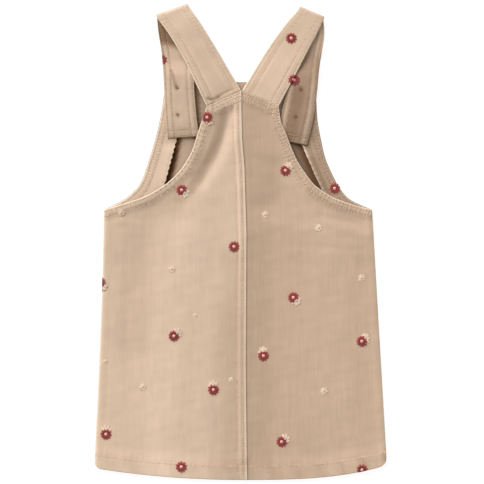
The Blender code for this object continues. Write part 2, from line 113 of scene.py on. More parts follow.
# Stitched rows, measured from the edge that they follow
EDGE_ROWS = (2, 8.2)
LAP_ROWS = (4.2, 10.2)
YOKE_ROWS = (1.7, 5.6, 9.6)
STRAP_ROWS = (2.4, 8.4)
HEM_ROW = 15.2
ROW_CLEAR = 0.8  # how far a row stays from the cloth's edges
ROW_RISE = 0.12  # and its thread from its groove
INNER_RISE = -0.1  # the straps' inner rows lie deeper
END_ROWS = (2.2, 9)

Point = namedtuple("Point", "x y")
Half = namedtuple("Half", "name side chest flare flare_power hem_rise hem_power")
Section = namedtuple("Section", "outer_x outer_y inner_x inner_y")
Run = namedtuple("Run", "outer_x outer_y inner_x inner_y outer_lift inner_lift")
Strap = namedtuple("Strap", "name side seam back_run fold front_run")
Fold = namedtuple("Fold", "start end width height")
Button = namedtuple("Button", "name x y")
Reach = namedtuple("Reach", "side inner_x end_y")
Ease = namedtuple("Ease", "start end")
Border = namedtuple("Border", "points lines")
Pucker = namedtuple("Pucker", "pitch height")
Daisy = namedtuple("Daisy", "x y size turn")
Flower = namedtuple("Flower", "x y companion_turn", defaults=[None])
Kind = namedtuple("Kind", "size spin")
Bloom = namedtuple("Bloom", "petals threads opening knot")
Shade = namedtuple("Shade", "line flat reach depth")
LowerRun = namedtuple("LowerRun", "tone border fold_tone flat reach lean")
StrapFlower = namedtuple("StrapFlower", "run x y")

LEFT = Half("left", -1, 157.0, 11.3, 1.4, 13.5, 2.0)
RIGHT = Half("right", 1, 151.2, 17.1, 1.0, 17.0, 3.0)

# The centre back seam, from the hem up
CENTRE_SEAM = [
    (8, -273.4), (7.6, -258), (6.3, -143.5), (7.1, 10),
    (4.8, 86), (2.1, 118.7), (1.3, 150), (1.3, 173.7),
]

# Armhole edges run from the side seam up
BACK_ARMHOLE = {
    "left": [
        (-157, ARMHOLE_Y), (-142, 41.5), (-113.3, 50.9), (-98.3, 58.4), (-83.4, 68.4), (-69.6, 82.1),
        (-60.8, 95), (-54.6, 107.4), (-49.6, 123.6), (-42.1, 146), (-39, 155.5),
    ],
    "right": [
        (151.2, ARMHOLE_Y), (133.9, 41.5), (107.5, 50.9), (87.7, 63.4), (77.6, 74.8), (65.2, 93.7),
        (59, 107.4), (52.8, 123.6), (47.2, 136.2), (44, 155.5),
    ],
}
FRONT_ARMHOLE = {
    "left": [
        (-157, ARMHOLE_Y), (-135.1, 48.3), (-121.3, 59.8), (-113.3, 71.3), (-105.2, 94.3), (-98.3, 117.3),
        (-92.6, 140.3), (-88.5, 165), (-BIB_HALF, BIB_TOP + BIB_PEAK),
    ],
    "right": [
        (151.2, ARMHOLE_Y), (127.1, 48.3), (115.6, 59.8), (108.7, 71.3), (98.3, 94.3), (92.6, 117.3),
        (88.5, 140.3), (87, 165), (BIB_HALF, BIB_TOP + BIB_PEAK),
    ],
}

# Each strap runs from its seam on the back up to its fold, and down inside the bib
LEFT_BACK_RUN = [
    Run(-49.2, 177.1, -11.5, 194.3, 6.9, 4.3),
    Run(-59.4, 199, -23.3, 214.6, 6.6, 4.6),
    Run(-71.4, 220.9, -35.4, 234.6, 5.9, 5.1),
    Run(-84, 241, -47.8, 254.4, 5.9, 5.7),
]
LEFT_FRONT_RUN = [
    Section(-94.2, 241, -58.4, 249),
    Section(-90.6, 218, -55.6, 222),
    Section(-88.6, 195, -53.6, 197),
    Section(-87.6, 172, -52.8, 173),
    Section(-86.7, 146, -50.6, 147),
    Section(-84.1, 118.9, -47.5, 121),
]
RIGHT_BACK_RUN = [
    Run(55.2, 176.7, 14, 194.3, 7.6, 4.3),
    Run(65.8, 196.9, 26.8, 215, 7, 4.6),
    Run(76.6, 218.1, 39.5, 234.2, 5.8, 5.1),
    Run(87, 238, 53.6, 252.7, 5.9, 5.7),
]
RIGHT_FRONT_RUN = [
    Section(96.2, 238, 64, 248),
    Section(92.8, 215, 59.5, 222),
    Section(90, 195, 56.5, 198),
    Section(87.9, 172, 52.5, 173),
    Section(84.8, 146, 47, 147),
    Section(76.5, 110.4, 41, 117.5),
]
LEFT_SEAM, LEFT_FOLD = Section(-39, 155.5, 0.9, 173.7), Section(-97.2, 261, -60.7, 273.9)
RIGHT_SEAM, RIGHT_FOLD = Section(44, 155.5, 1.8, 173.7), Section(96.6, 258.9, 68.2, 270.6)
STRAPS = [
    Strap("strap_left", -1, LEFT_SEAM, LEFT_BACK_RUN, LEFT_FOLD, LEFT_FRONT_RUN),
    Strap("strap_right", 1, RIGHT_SEAM, RIGHT_BACK_RUN, RIGHT_FOLD, RIGHT_FRONT_RUN),
]
STRAP_ENDS = [Reach(-1, -46, 117), Reach(1, 41, 109.5)]

BUTTONS = [
    Button("button_left_upper", -73, 177.1),
    Button("button_left_lower", -71.9, 145.5),
    Button("button_right_upper", 69.6, 175),
    Button("button_right_lower", 63.4, 143.2),
]

# Height of the back's underside over the floor, and the y that it holds for
BACK_REST = [(1.5, HEM_Y), (1.5, -25), (2.8, 12), (2.9, 42), (4.2, 80), (4.3, 174)]

# Largest folds of the back, which its solids share
FOLDS = [
    Fold((-116, 50), (-86, 71), 13, 2.1),
    Fold((114, 48), (86, 69), 13, 2.1),
    Fold((-12.5, 147), (-21, 114), 8, -2.3),
    Fold((-26, 101), (-45, 69), 8, -2.1),
    Fold((-2, 118), (-24, 78), 10, 0.6),
    Fold((6, 52), (7, -245), 20, 1.4),
    Fold((-36, 50), (-62, 14), 22, 1.5),
    Fold((-76, -24), (-104, -101), 27, 2.3),
    Fold((-100, -150), (-87, -205), 26, 1.9),
    Fold((92, -20), (84, -215), 32, 2),
]

# Finer creases, in the cloth shells alone
BACK_CREASES = [
    Fold((-15, 143), (-27, 108), 6, -0.5),
    Fold((-27, 108), (-52, 76), 6, -0.6),
    Fold((-20, -60), (-27, -250), 7, -0.5),
    Fold((-142, 22), (-118, 20), 4, 0.4),
    Fold((92, 30), (140, 19), 4, -0.5),
    Fold((104, 19), (146, 8), 4.5, 0.4),
    Fold((30, 22), (84, 14), 5, 0.3),
    Fold((60, -4), (138, -9), 5, -0.3),
    Fold((20, 95), (48, 88), 6, -0.3),
    Fold((-130, -60), (-126, -170), 9, -0.5),
]
FRONT_CREASES = [
    Fold((-60, 60), (-86, -30), 16, 0.3),
    Fold((40, 20), (62, -120), 20, 0.35),
    Fold((-20, -80), (-34, -220), 18, 0.3),
    Fold((110, -60), (118, -190), 16, 0.3),
]

CURL = 3.4
CURL_IN = Ease(50, 75)
CURL_OUT = {"left": Ease(103, 115.5), "right": Ease(96, 107.5)}

# How far each facing reaches over the front, against its usual width, and at which y
FACING_REACH = {
    "left": [(1.15, 50), (1.08, 80), (1.04, 94), (1, 117)],
    "right": [(0.84, 50), (0.76, 72), (0.77, 94), (0.95, 117), (1, 135)],
}

# Puckers along the armholes and the hem, and in the bands between stitched rows
PUCKERS = {"left": Pucker(5.8, 0.26), "right": Pucker(4.6, 0.3)}
HEM_PUCKER = Pucker(24, 0.3)
HEM_CREASE = 0.45
YOKE_PITCH = 4.4
FACING_PITCH = 6.4
LADDER_PITCH = 3.5
# Rows along the back's armholes whose single stitches show as spots of painted shade, with painted light
# between them
BEADED_ROWS = {"left": (2.6, 8.2), "right": (2.6, 8.2, 12.2)}
INNER_ROWS = {"strap_left": 0.15, "strap_right": 0.4}  # share that a strap's inner rows sink in

# Shares of red, green and blue: each back panel's tint, the right one darker and browner, and what the
# colour keeps under the darkest painted shade
PANEL_TINTS = {"left": (1.0, 1.0, 1.0), "right": (0.88, 0.85, 0.83)}
DARKEST_PAINTED_SHADE = (0.2, 0.105, 0.04)

# Painted shade and shadow, as tones that darken the cloth's colour where shade falls: in the openings and
# between layers, in the back's troughs and beside its seams, and on the straps' lower runs; a negative
# depth paints light
INSIDE_SHADES = [
    Shade([(-73.6, 118), (-79.9, 90.9), (-86.6, 66.7)], 4, 8.5, 1),
    Shade([(-53, 190), (-50, 122)], 3.5, 6.5, 0.65),
    Shade([(-45, 190), (-45, 112)], 9, 15, 0.15),
    Shade([(56, 112), (74, 92), (96, 56)], 14, 22, 0.62),
    Shade([(72, 112), (81, 89), (92, 60)], 3.5, 10, 0.8),
    Shade([(68, 116), (82, 108)], 4, 10, 0.7),
]
BACK_SHADES = [
    Shade([(-19, 146), (-27, 117), (-34, 97), (-56, 62)], 4, 9, 0.21),
    Shade([(-26, 142), (-36, 112), (-46, 90), (-68, 54)], 5, 15, 0.16),
    Shade([(22, 150), (26, 60)], 8, 30, 0.17),
    Shade([(20, 40), (24, -230)], 4, 22, 0.07),
    Shade([(44, -20), (44, -270)], 20, 60, 0.09),
    Shade([(138, -20), (146, -270)], 6, 26, 0.06),
    Shade([(-8, -20), (-10, -280)], 5, 20, 0.14),
    Shade([(-14, -90), (-18, -280)], 4, 34, 0.12),
    Shade([(-122, 22), (-126, -110)], 8, 30, 0.13),
    Shade([(-56, 8), (-90, -110), (-92, -270)], 7, 27, -0.1),
    Shade([(-78, 42), (-98, 36)], 5, 16, 0.12),
    Shade([(30, -253), (-30, -256)], 3, 12, 0.1),
]
STRAP_SHADES = {
    "strap_left": [Shade([(-79.5, 197), (-73.5, 176)], 0.7, 2.4, 0.4)],
    "strap_right": [Shade([(66, 172), (57, 124)], 4, 11, 0.32)],
}

# Creases in the straps' upper runs, most of them beside the seam, pressed a little into the cloth and
# darkened as painted shade; a negative depth paints light
SEAM_SHADES = {
    "strap_left": [
        Shade([(-38, 165), (-31.5, 163.8), (-26, 166.6)], 0.4, 2.8, 0.62),
        Shade([(-26, 166.6), (-19.5, 171.4), (-11, 175.6)], 0.2, 2.4, 0.45),
        Shade([(-42, 222), (-20, 186)], 8, 26, 0.07),
        Shade([(-87, 254), (-66, 262)], 6, 20, -0.07),
    ],
    "strap_right": [Shade([(17, 163), (34, 155.5)], 0.3, 3, 0.12)],
}

# Painted shade and light of the straps' lower runs: their tone, the lighter border between their rows, and
# the tone near the fold
LOWER_RUNS = {
    "strap_left": LowerRun(0.86, 0.06, 0.19, 32, 43, 0.4),
    "strap_right": LowerRun(0.46, 0.26, 1.1, 14, 70, 0),
}

# Each facing's tone, darker on the right as painted shade, the wave of its free edge and the band of
# painted shade beside that edge
FACING_TONES = {"left": 0.97, "right": 0.58}
FACING_WAVE = {"left": 0.028, "right": 0.01}
FACING_SHADE_BAND = {"left": 0, "right": 0.32}

# Buttons' dents in the straps, buttonholes, and how flat the floor presses embroidery
BUTTON_MARK = 2.4
HOLE_LENGTH = 19.0
PRESSED = 0.3

# Kinds of daisy: size against the red ones, and degrees that each is turned past the one before
RED = Kind(1.0, 23.0)
COMPANION = Kind(0.95, 17.0)
SMALL = Kind(0.7, 31.0)
FAINT = Kind(0.45, 19.0)
COMPANION_AWAY = 4.9
RED_BLOOM = Bloom(10, 5, 0.17, 0.25)
CREAM_BLOOM = Bloom(7, 8, 0.08, 0.4)
CREAM_FLATNESS = 0.7
PETAL_SPREAD = 5.4  # radians that all the petals of a daisy cover
EMBROIDERY_THREAD = 0.75

# Red daisies on the back, and the way in which the cream one behind each peeks out
BACK_FLOWERS = [
    Flower(-38.5, 143.2, -40),
    Flower(-67.7, 59.8, -45),
    Flower(51.5, 82.3, 50),
    Flower(-7.5, -5.2),
    Flower(60.6, -63.6, -50),
    Flower(-161.6, -46.4, -62),
    Flower(-76.7, -107.9, 40),
    Flower(-31.3, -169.6, 90),
    Flower(-154.7, -220.8, 90),
    Flower(-68.1, -258.2),
    Flower(26.2, -130.6, 90),
    Flower(139.3, -113.9, 40),
    Flower(47.2, -229.4, 40),
    Flower(139.5, -261.5),
]
BACK_SMALL_FLOWERS = [
    Flower(-78.9, -31.1),
    Flower(28.4, 31.3),
    Flower(89.6, 16.2),
    Flower(139.2, -41.4),
    Flower(-112.1, -166.5),
    Flower(96, -171.1),
    Flower(-136.9, 33.4),
]
FRONT_BIB_FLOWERS = [
    Flower(-41, 92, 40),
    Flower(30, 128, 200),
    Flower(52, 66, 120),
    Flower(-24, 150, 300),
]
FAINT_FLOWERS = [
    Flower(-52.3, -84.5),
    Flower(-155.8, -137.4),
    Flower(-10.9, -158.1),
]
STRAP_FLOWERS = {
    "strap_left": [StrapFlower("lower", -91.2, 209.4)],
    "strap_right": [
        StrapFlower("upper", 58.1, 234),
        StrapFlower("upper", 61, 186.2),
        StrapFlower("lower", 61.6, 186),
    ],
}
FACING_FLOWERS = [Flower(108.1, 61.8)]


# ---- numbers and lines


def smooth(t):
    """Ease from 0 to 1."""
    t = np.clip(t, 0, 1)
    return t * t * (3 - 2 * t)


def fade(distance, flat, reach):
    """1 up to a distance of flat, easing to 0 at reach."""
    return 1 - smooth((distance - flat) / (reach - flat))


def ramp(table, y):
    """The first column of a table at y, in straight lines between its rows."""
    return np.interp(y, [row[1] for row in table], [row[0] for row in table])


def rounded(distance, radius):
    """The height of a round edge, from 0 at the edge to 1 at its radius."""
    inwards = 1 - np.clip(distance / radius, 0, 1)
    return np.sqrt(1 - inwards * inwards)


def ripple(x, y, size, seed):
    """Smooth uneven noise between about -1 and 1, with features of a size."""
    total = 0.0
    for k in range(5):
        turn = 2.4 * k + 1.7 * seed
        length = size * (0.7 + 0.17 * k)
        phase = (x * math.cos(turn) + y * math.sin(turn)) / length * 2 * math.pi
        total = total + np.sin(phase + 5.1 * seed + 1.3 * k)
    return total / 3


def uneven_wave(travelled, pitch, seed):
    """A wave along a line whose bumps differ in length and height."""
    drift = 1.1 * np.sin(travelled / (2.3 * pitch) + seed)
    drift = drift + 0.8 * np.sin(travelled / (5.1 * pitch) + 2 * seed)
    height = 0.7 + 0.3 * np.sin(travelled / (3.7 * pitch) + 3 * seed)
    return height * np.sin(2 * math.pi * travelled / pitch + drift)


def bell(distance, width):
    """1 at a distance of 0, falling softly to almost 0 at twice the width."""
    return np.exp(-((distance / width) ** 2))


def least(*distances):
    """The smallest of several distances at each place."""
    return np.minimum.reduce(distances)


def stitched(distance, rows, width=0.9):
    """How far the cloth at a distance from an edge is pulled in by its stitched rows."""
    return sum(bell(distance - row, width) for row in rows)


def shaded(x, y, shades):
    """The tone that a table of shades leaves at places."""
    tone = np.ones(np.shape(x))
    for shade in shades:
        away = nearest(x, y, shade.line)[0]
        tone *= 1 - shade.depth * fade(away, shade.flat, shade.reach)
    return tone


def catmull(before, start, end, after, t):
    """One value of a smooth curve that passes through start and end."""
    return 0.5 * (
        2 * start
        + (end - before) * t
        + (2 * before - 5 * start + 4 * end - after) * t * t
        + (3 * start - before - 3 * end + after) * t * t * t
    )


def through(rows, steps):
    """A smooth curve through the rows of a table, with steps spans to each."""
    curve = []
    for i, (start, end) in enumerate(zip(rows, rows[1:])):
        before = rows[max(i - 1, 0)]
        after = rows[min(i + 2, len(rows) - 1)]
        for k in range(steps):
            values = zip(before, start, end, after)
            curve.append(tuple(catmull(*four, k / steps) for four in values))
    curve.append(tuple(rows[-1]))
    return curve


def even(curve, spacing=OUTLINE_SPACING):
    """Points at even distances along a line of points."""
    lengths = [math.dist(a, b) for a, b in zip(curve, curve[1:])]
    walked = np.concatenate([[0], np.cumsum(lengths)])
    places = np.linspace(0, walked[-1], max(1, round(walked[-1] / spacing)) + 1)
    xs = np.interp(places, walked, [p[0] for p in curve])
    ys = np.interp(places, walked, [p[1] for p in curve])
    return [Point(x, y) for x, y in zip(xs.tolist(), ys.tolist())]


def spaced(points, spacing=OUTLINE_SPACING):
    """Points at even distances along a smooth curve through the given ones."""
    return even(through(points, CURVE_STEPS), spacing)


def offset_line(line, side, distance):
    """A line moved into the cloth, which lies to its left for a side of 1."""
    moved = []
    for i, point in enumerate(line):
        before, after = line[max(i - 1, 0)], line[min(i + 1, len(line) - 1)]
        run = Vector((after.x - before.x, after.y - before.y)).normalized()
        moved.append(Point(point.x - side * run.y * distance, point.y + side * run.x * distance))
    return moved


def nearest(x, y, line):
    """Distance from places to a line of points, and how far along it the nearest point is."""
    best = np.full(np.shape(x), np.inf)
    travelled = np.zeros(np.shape(x))
    start = 0.0
    for a, b in zip(line, line[1:]):
        run_x, run_y = b[0] - a[0], b[1] - a[1]
        length = math.hypot(run_x, run_y)
        share = np.clip(((x - a[0]) * run_x + (y - a[1]) * run_y) / length**2, 0, 1)
        away = np.hypot(x - a[0] - run_x * share, y - a[1] - run_y * share)
        closer = away < best
        best = np.where(closer, away, best)
        travelled = np.where(closer, start + length * share, travelled)
        start += length
    return best, travelled


def inside(x, y, loop):
    """Whether places are inside a loop of points."""
    within = np.zeros(np.shape(x), bool)
    for a, b in zip(loop, loop[1:] + loop[:1]):
        if a[1] == b[1]:
            continue
        crosses = (a[1] > y) != (b[1] > y)
        within ^= crosses & (x < a[0] + (b[0] - a[0]) * (y - a[1]) / (b[1] - a[1]))
    return within


def kept_on(loop, row):
    """The points of a row that lie inside a loop and clear of its edge."""
    xs, ys = np.array(row).T
    kept = inside(xs, ys, loop) & (nearest(xs, ys, loop + loop[:1])[0] > ROW_CLEAR)
    return [point for point, keep in zip(row, kept) if keep]


# ---- how the dress lies


def side_x(half, y):
    """The side seam, which flares from the armhole to the hem."""
    drop = np.maximum(0, (ARMHOLE_Y - y) / (ARMHOLE_Y - HEM_Y - half.hem_rise))
    return half.side * (half.chest + half.flare * drop**half.flare_power)


def hem_line(x):
    """The hem, which curves up towards each side seam."""
    left = LEFT.hem_rise * (np.abs(x) / HEM_HALF) ** LEFT.hem_power
    right = RIGHT.hem_rise * (np.abs(x) / HEM_HALF) ** RIGHT.hem_power
    return HEM_Y + np.where(x < 0, left, right)


def seam_x(y):
    """Where the centre back seam runs."""
    return ramp(CENTRE_SEAM, y)


def bib_top(x):
    """The bib's upper edge, a little higher at its corners."""
    return BIB_TOP + BIB_PEAK * (x / BIB_HALF) ** 2


def bib_lift(x, y):
    """How far the buttons under the bib hold it off the floor."""
    level = 1.0
    for button in BUTTONS:
        away = np.hypot(x - button.x, y - button.y)
        level = level * (1 - fade(away, BUTTON_FLAT, BUTTON_REACH))
    return (BUTTON_THICK + GAP) * (1 - level)


def strap_seat(x, y):
    """Underside of a strap's lower run: on the facing, then on the floor."""
    over_bib = bib_lift(x, y) + WALL + FACING_THICK + 2 * GAP
    return over_bib * (1 - smooth((y - BIB_CLEAR) / BIB_DROP))


def hem_share(x, y):
    """1 in the turned hem, 0 above it."""
    return fade(y - hem_line(x), HEM_DEPTH, HEM_DEPTH + STEP)


def fold_height(x, y, folds):
    """Height that a table of folds adds at places."""
    total = np.zeros(np.shape(x))
    for fold in folds:
        away = nearest(x, y, [fold.start, fold.end])[0]
        total += fold.height * bell(away, fold.width)
    return total


def back_seat(x, y):
    """Underside of the back: over the front, its folds and the strap ends."""
    height = ramp(BACK_REST, y) + (TURNED - WALL) * hem_share(x, y)
    height += fold_height(x, y, FOLDS)
    over_strap = bib_lift(x, y) + WALL + FACING_THICK + STRAP_THICK + 3 * GAP + LIFT_EASE
    for end in STRAP_ENDS:
        beside = np.maximum(0, end.side * (end.inner_x - x))
        below = np.maximum(0, end.end_y - y)
        share = fade(np.hypot(beside, below), 0, LIFT_REACH)
        height += np.maximum(0, over_strap - height) * share
    return height


def side_edge(half):
    """Side seam from the hem's rounded corner up to the armhole."""
    hem_x = half.side * (HEM_HALF - HEM_CORNER)
    corner_x = half.side * HEM_HALF
    low = Point(hem_x, float(hem_line(hem_x)))
    corner = Point(corner_x, float(hem_line(corner_x)))
    rise = corner.y + HEM_CORNER
    high = Point(float(side_x(half, rise)), rise)
    curve = []
    for k in range(9):
        t = k / 8
        x = (1 - t) ** 2 * low.x + 2 * t * (1 - t) * corner.x + t * t * high.x
        y = (1 - t) ** 2 * low.y + 2 * t * (1 - t) * corner.y + t * t * high.y
        curve.append(Point(x, y))
    climb = np.linspace(rise, ARMHOLE_Y, 60)[1:]
    curve += [Point(float(side_x(half, y)), float(y)) for y in climb]
    return even(curve)


def hem_edge(start_x, end_x):
    """The hem from one x to another."""
    xs = np.linspace(start_x, end_x, 80)
    return even([Point(float(x), float(hem_line(x))) for x in xs])


def joined(lines):
    """Lines end to end as one loop, without the points they share."""
    loop = []
    for line in lines:
        for point in line:
            if not loop or math.dist(point, loop[-1]) > 0.05:
                loop.append(point)
    if math.dist(loop[0], loop[-1]) < 0.05:
        loop.pop()
    return loop


# ---- meshes


def triangulated(borders, side, spacing):
    """A panel's points and triangles: its outline, lines beside it, and an even filling."""
    loop = joined([border.points for border in borders])
    closed = loop + loop[:1]
    beside = []
    for border in borders:
        for distance in border.lines:
            line = np.array(offset_line(border.points, side, distance))
            clear = nearest(line[:, 0], line[:, 1], closed)[0] > 0.9 * distance - 0.02
            beside += line[clear & inside(line[:, 0], line[:, 1], loop)].tolist()
    xs, ys = np.array(loop).T
    row_height = spacing * math.sqrt(3) / 2
    rows = np.arange(ys.min(), ys.max(), row_height)
    columns = np.arange(xs.min(), xs.max(), spacing)
    grid_x, grid_y = np.meshgrid(columns, rows)
    grid_x[1::2] += spacing / 2
    grid_x, grid_y = grid_x.ravel(), grid_y.ravel()
    kept = inside(grid_x, grid_y, loop)
    grid_x, grid_y = grid_x[kept], grid_y[kept]
    kept = nearest(grid_x, grid_y, closed)[0] > EDGE_LINES[-1] + 0.5 * spacing
    tree = kdtree.KDTree(len(beside))
    for i, (x, y) in enumerate(beside):
        tree.insert((x, y, 0.0), i)
    tree.balance()
    filling = []
    for x, y in zip(grid_x[kept].tolist(), grid_y[kept].tolist()):
        if tree.find((x, y, 0.0))[2] > 0.6 * spacing:
            filling.append((x, y))
    flat = [Vector(p) for p in loop + beside + filling]
    cut = delaunay_2d_cdt(flat, [], [list(range(len(loop)))], 1, 0.0001)
    places = np.array([tuple(p) for p in cut[0]])
    triangles = np.array(cut[2])
    a, b, c = (places[triangles[:, k]] for k in range(3))
    turn = (b - a)[:, 0] * (c - a)[:, 1] - (b - a)[:, 1] * (c - a)[:, 0]
    triangles[turn < 0] = triangles[turn < 0][:, ::-1]
    return loop, places, triangles[np.abs(turn) > 1e-9]


def new_object(name, data):
    """An object of the scene for a mesh, a camera or a lamp."""
    made = bpy.data.objects.new(name, data)
    bpy.context.scene.collection.objects.link(made)
    return made


def new_piece(name, points, faces, grain, masks, outer, inner, inner_faces):
    """A mesh object with its grain map, its masks and its one or two finishes."""
    mesh = bpy.data.meshes.new(name)
    mesh.from_pydata((points * MM).tolist(), [], faces)
    mesh.update()
    uv = mesh.uv_layers.new(name="grain")
    corners = np.zeros(len(mesh.loops), np.int32)
    mesh.loops.foreach_get("vertex_index", corners)
    uv.data.foreach_set("uv", (grain * MM)[corners].astype(np.float32).ravel())
    for label, values in masks.items():
        mask = mesh.attributes.new(label, "FLOAT", "POINT")
        mask.data.foreach_set("value", values.astype(np.float32))
    mesh.materials.append(outer)
    if inner is not None:
        mesh.materials.append(inner)
        slots = np.zeros(len(mesh.polygons), np.int32)
        slots[inner_faces] = 1
        mesh.polygons.foreach_set("material_index", slots)
    mesh.polygons.foreach_set("use_smooth", np.ones(len(mesh.polygons), bool))
    return new_object(name, mesh)


def shell_from_plan(name, plan, surfaces, outer, inner, outside_up):
    """A closed cloth shell between two heights that meet along the outline."""
    loop, places, triangles = plan
    x, y = places.T
    bottom, top, masks = surfaces(x, y)
    on_edge = nearest(x, y, loop + loop[:1])[0] < 0.01
    count = len(places)
    below = np.where(on_edge, np.arange(count), count + np.cumsum(~on_edge) - 1)
    upper = np.column_stack([x, y, top])
    lower = np.column_stack([x, y, bottom])[~on_edge]
    points = np.vstack([upper, lower])
    faces = np.vstack([triangles, below[triangles][:, ::-1]])
    grain = np.vstack([places, places[~on_edge]])
    masks = {label: np.concatenate([values, values[~on_edge]]) for label, values in masks.items()}
    # the lower faces get none of the painted shade
    masks["tone"][count:] = 1.0
    lower_faces = np.arange(len(triangles), 2 * len(triangles))
    upper_faces = np.arange(len(triangles))
    inner_faces = lower_faces if outside_up else upper_faces
    return new_piece(name, points, faces.tolist(), grain, masks, outer, inner, inner_faces)


def shell_from_grid(name, middle, depth, grain, masks, outer):
    """A closed shell as far as its depth on both sides of a grid, and 0 along the grid's border."""
    rows, columns = middle.shape[:2]
    normals = grid_normals(middle)
    top = middle + normals * depth[..., None]
    bottom = middle - normals * depth[..., None]
    index = np.arange(rows * columns).reshape(rows, columns)
    border = np.ones((rows, columns), bool)
    border[1:-1, 1:-1] = False
    below = np.where(border, index, rows * columns + np.cumsum(~border).reshape(rows, columns) - 1)
    up = np.stack([index[:-1, :-1], index[:-1, 1:], index[1:, 1:], index[1:, :-1]], -1).reshape(-1, 4)
    down = np.stack([below[:-1, :-1], below[1:, :-1], below[1:, 1:], below[:-1, 1:]], -1).reshape(-1, 4)
    across = np.cross(middle[0, 1] - middle[0, 0], middle[1, 0] - middle[0, 0])
    if across @ normals[0, 0] < 0:
        up, down = up[:, ::-1], down[:, ::-1]
    inner = ~border.ravel()
    points = np.vstack([top.reshape(-1, 3), bottom.reshape(-1, 3)[inner]])
    flat = grain.reshape(-1, 2)
    faces = np.vstack([up, down]).tolist()
    both_grain = np.vstack([flat, flat[inner]])
    masks = {label: np.concatenate([v.ravel(), v.ravel()[inner]]) for label, v in masks.items()}
    return new_piece(name, points, faces, both_grain, masks, outer, None, None), top, bottom, normals


def grid_normals(middle):
    """Unit normals of a grid of points, upwards at its first row."""
    along = np.gradient(middle, axis=0)
    across = np.gradient(middle, axis=1)
    normals = np.cross(across, along)
    normals /= np.linalg.norm(normals, axis=-1, keepdims=True)
    if normals[0, :, 2].mean() < 0:
        normals = -normals
    return normals


def line_piece(name, lines):
    """An object of separate lines of points, for a geometry tree to follow."""
    points, edges = [], []
    for line in lines:
        start = len(points)
        points += [tuple(float(v) * MM for v in p) for p in line]
        edges += [(start + i, start + i + 1) for i in range(len(line) - 1)]
    mesh = bpy.data.meshes.new(name)
    mesh.from_pydata(points, edges, [])
    return new_object(name, mesh)


def closest_cell(grid, x, y):
    """Row and column of the point of a grid that is nearest to a place seen from above."""
    away = np.hypot(grid[..., 0] - x, grid[..., 1] - y)
    return np.unravel_index(np.argmin(away), away.shape)


# ---- node helpers


class Nodes:
    """Adds nodes to a tree and joins them up."""

    def __init__(self, tree):
        self.tree = tree

    def add(self, kind, inputs=None, **settings):
        """A node with its settings, whose inputs are values or other nodes' sockets."""
        node = self.tree.nodes.new(kind)
        for name, value in settings.items():
            setattr(node, name, value)
        self.feed(node, inputs or {})
        return node

    def feed(self, node, inputs):
        """Give a node its inputs."""
        for key, value in inputs.items():
            self.join(value, node.inputs[key])

    def join(self, value, socket):
        """Link a socket to an input, or set the input's own value."""
        if isinstance(value, bpy.types.NodeSocket):
            self.tree.links.new(value, socket)
        else:
            socket.default_value = value

    def maths(self, operation, *values):
        """The result of one arithmetic step."""
        return self.add("ShaderNodeMath", dict(enumerate(values)), operation=operation).outputs[0]

    def plus(self, first, second):
        """Two values added."""
        return self.maths("ADD", first, second)

    def minus(self, first, second):
        """The second value taken from the first."""
        return self.maths("SUBTRACT", first, second)

    def times(self, first, second):
        """Two values multiplied."""
        return self.maths("MULTIPLY", first, second)

    def vectors(self, operation, inputs):
        """The result of one step of vector arithmetic."""
        return self.add("ShaderNodeVectorMath", inputs, operation=operation).outputs[0]

    def vector(self, parts):
        """A vector from its parts."""
        return self.add("ShaderNodeCombineXYZ", parts).outputs[0]

    def noise(self, vector, scale, detail=2.0):
        """Soft noise between 0 and 1."""
        inputs = {"Vector": vector, "Scale": scale, "Detail": detail, "Roughness": 0.55}
        return self.add("ShaderNodeTexNoise", inputs).outputs["Fac"]

    def streaks(self, vector, x, y, detail, z=1.0):
        """Noise with a scale of its own along each axis."""
        return self.noise(self.vectors("MULTIPLY", {0: vector, 1: (x, y, z)}), 1.0, detail)

    def blend(self, share, first, second):
        """One colour over another."""
        inputs = {0: share, 6: first, 7: second}
        return self.add("ShaderNodeMix", inputs, data_type="RGBA", blend_type="MIX").outputs[2]

    def mask(self, name):
        """A value that the mesh keeps for each of its points."""
        return self.add("ShaderNodeAttribute", attribute_name=name).outputs["Fac"]

    def group(self, build, inputs):
        """The outputs of a shared group with its own inputs."""
        return self.add("ShaderNodeGroup", inputs, node_tree=shared(build)).outputs

    def step(self, kind, inputs=None, **settings):
        """The result of one geometry node."""
        return self.add("GeometryNode" + kind, inputs, **settings).outputs[0]

    def random(self, seed, low=0.0, high=1.0):
        """A value of its own for each point or instance."""
        inputs = {"Seed": seed, 2: low, 3: high}
        return self.add("FunctionNodeRandomValue", inputs, data_type="FLOAT").outputs[1]

    def stored(self, geometry, name, value, domain):
        """Geometry that keeps a named value for each of its points or instances."""
        inputs = {"Geometry": geometry, "Name": name, "Value": value}
        return self.step("StoreNamedAttribute", inputs, data_type="FLOAT", domain=domain)

    def together(self, *shapes):
        """Geometries as one."""
        node = self.add("GeometryNodeJoinGeometry")
        for shape in shapes:
            self.join(shape, node.inputs[0])
        return node.outputs[0]


COLOUR = "NodeSocketColor"
NUMBER = "NodeSocketFloat"
VECTOR = "NodeSocketVector"
WHOLE = "NodeSocketInt"
SHAPE = "NodeSocketGeometry"
FINISH = "NodeSocketMaterial"


def new_tree(name, inputs, outputs, kind="ShaderNodeTree"):
    """A node group with named sockets, and its group input and output nodes."""
    tree = bpy.data.node_groups.new(name, kind)
    for label, socket, default in inputs:
        made = tree.interface.new_socket(name=label, in_out="INPUT", socket_type=socket)
        if default is not None:
            made.default_value = default
    for label, socket in outputs:
        tree.interface.new_socket(name=label, in_out="OUTPUT", socket_type=socket)
    nodes = Nodes(tree)
    return nodes, nodes.add("NodeGroupInput").outputs, nodes.add("NodeGroupOutput").inputs


def shared(build):
    """The node group with the name of the function that builds it at its first use."""
    return bpy.data.node_groups.get(build.__name__) or build(build.__name__)


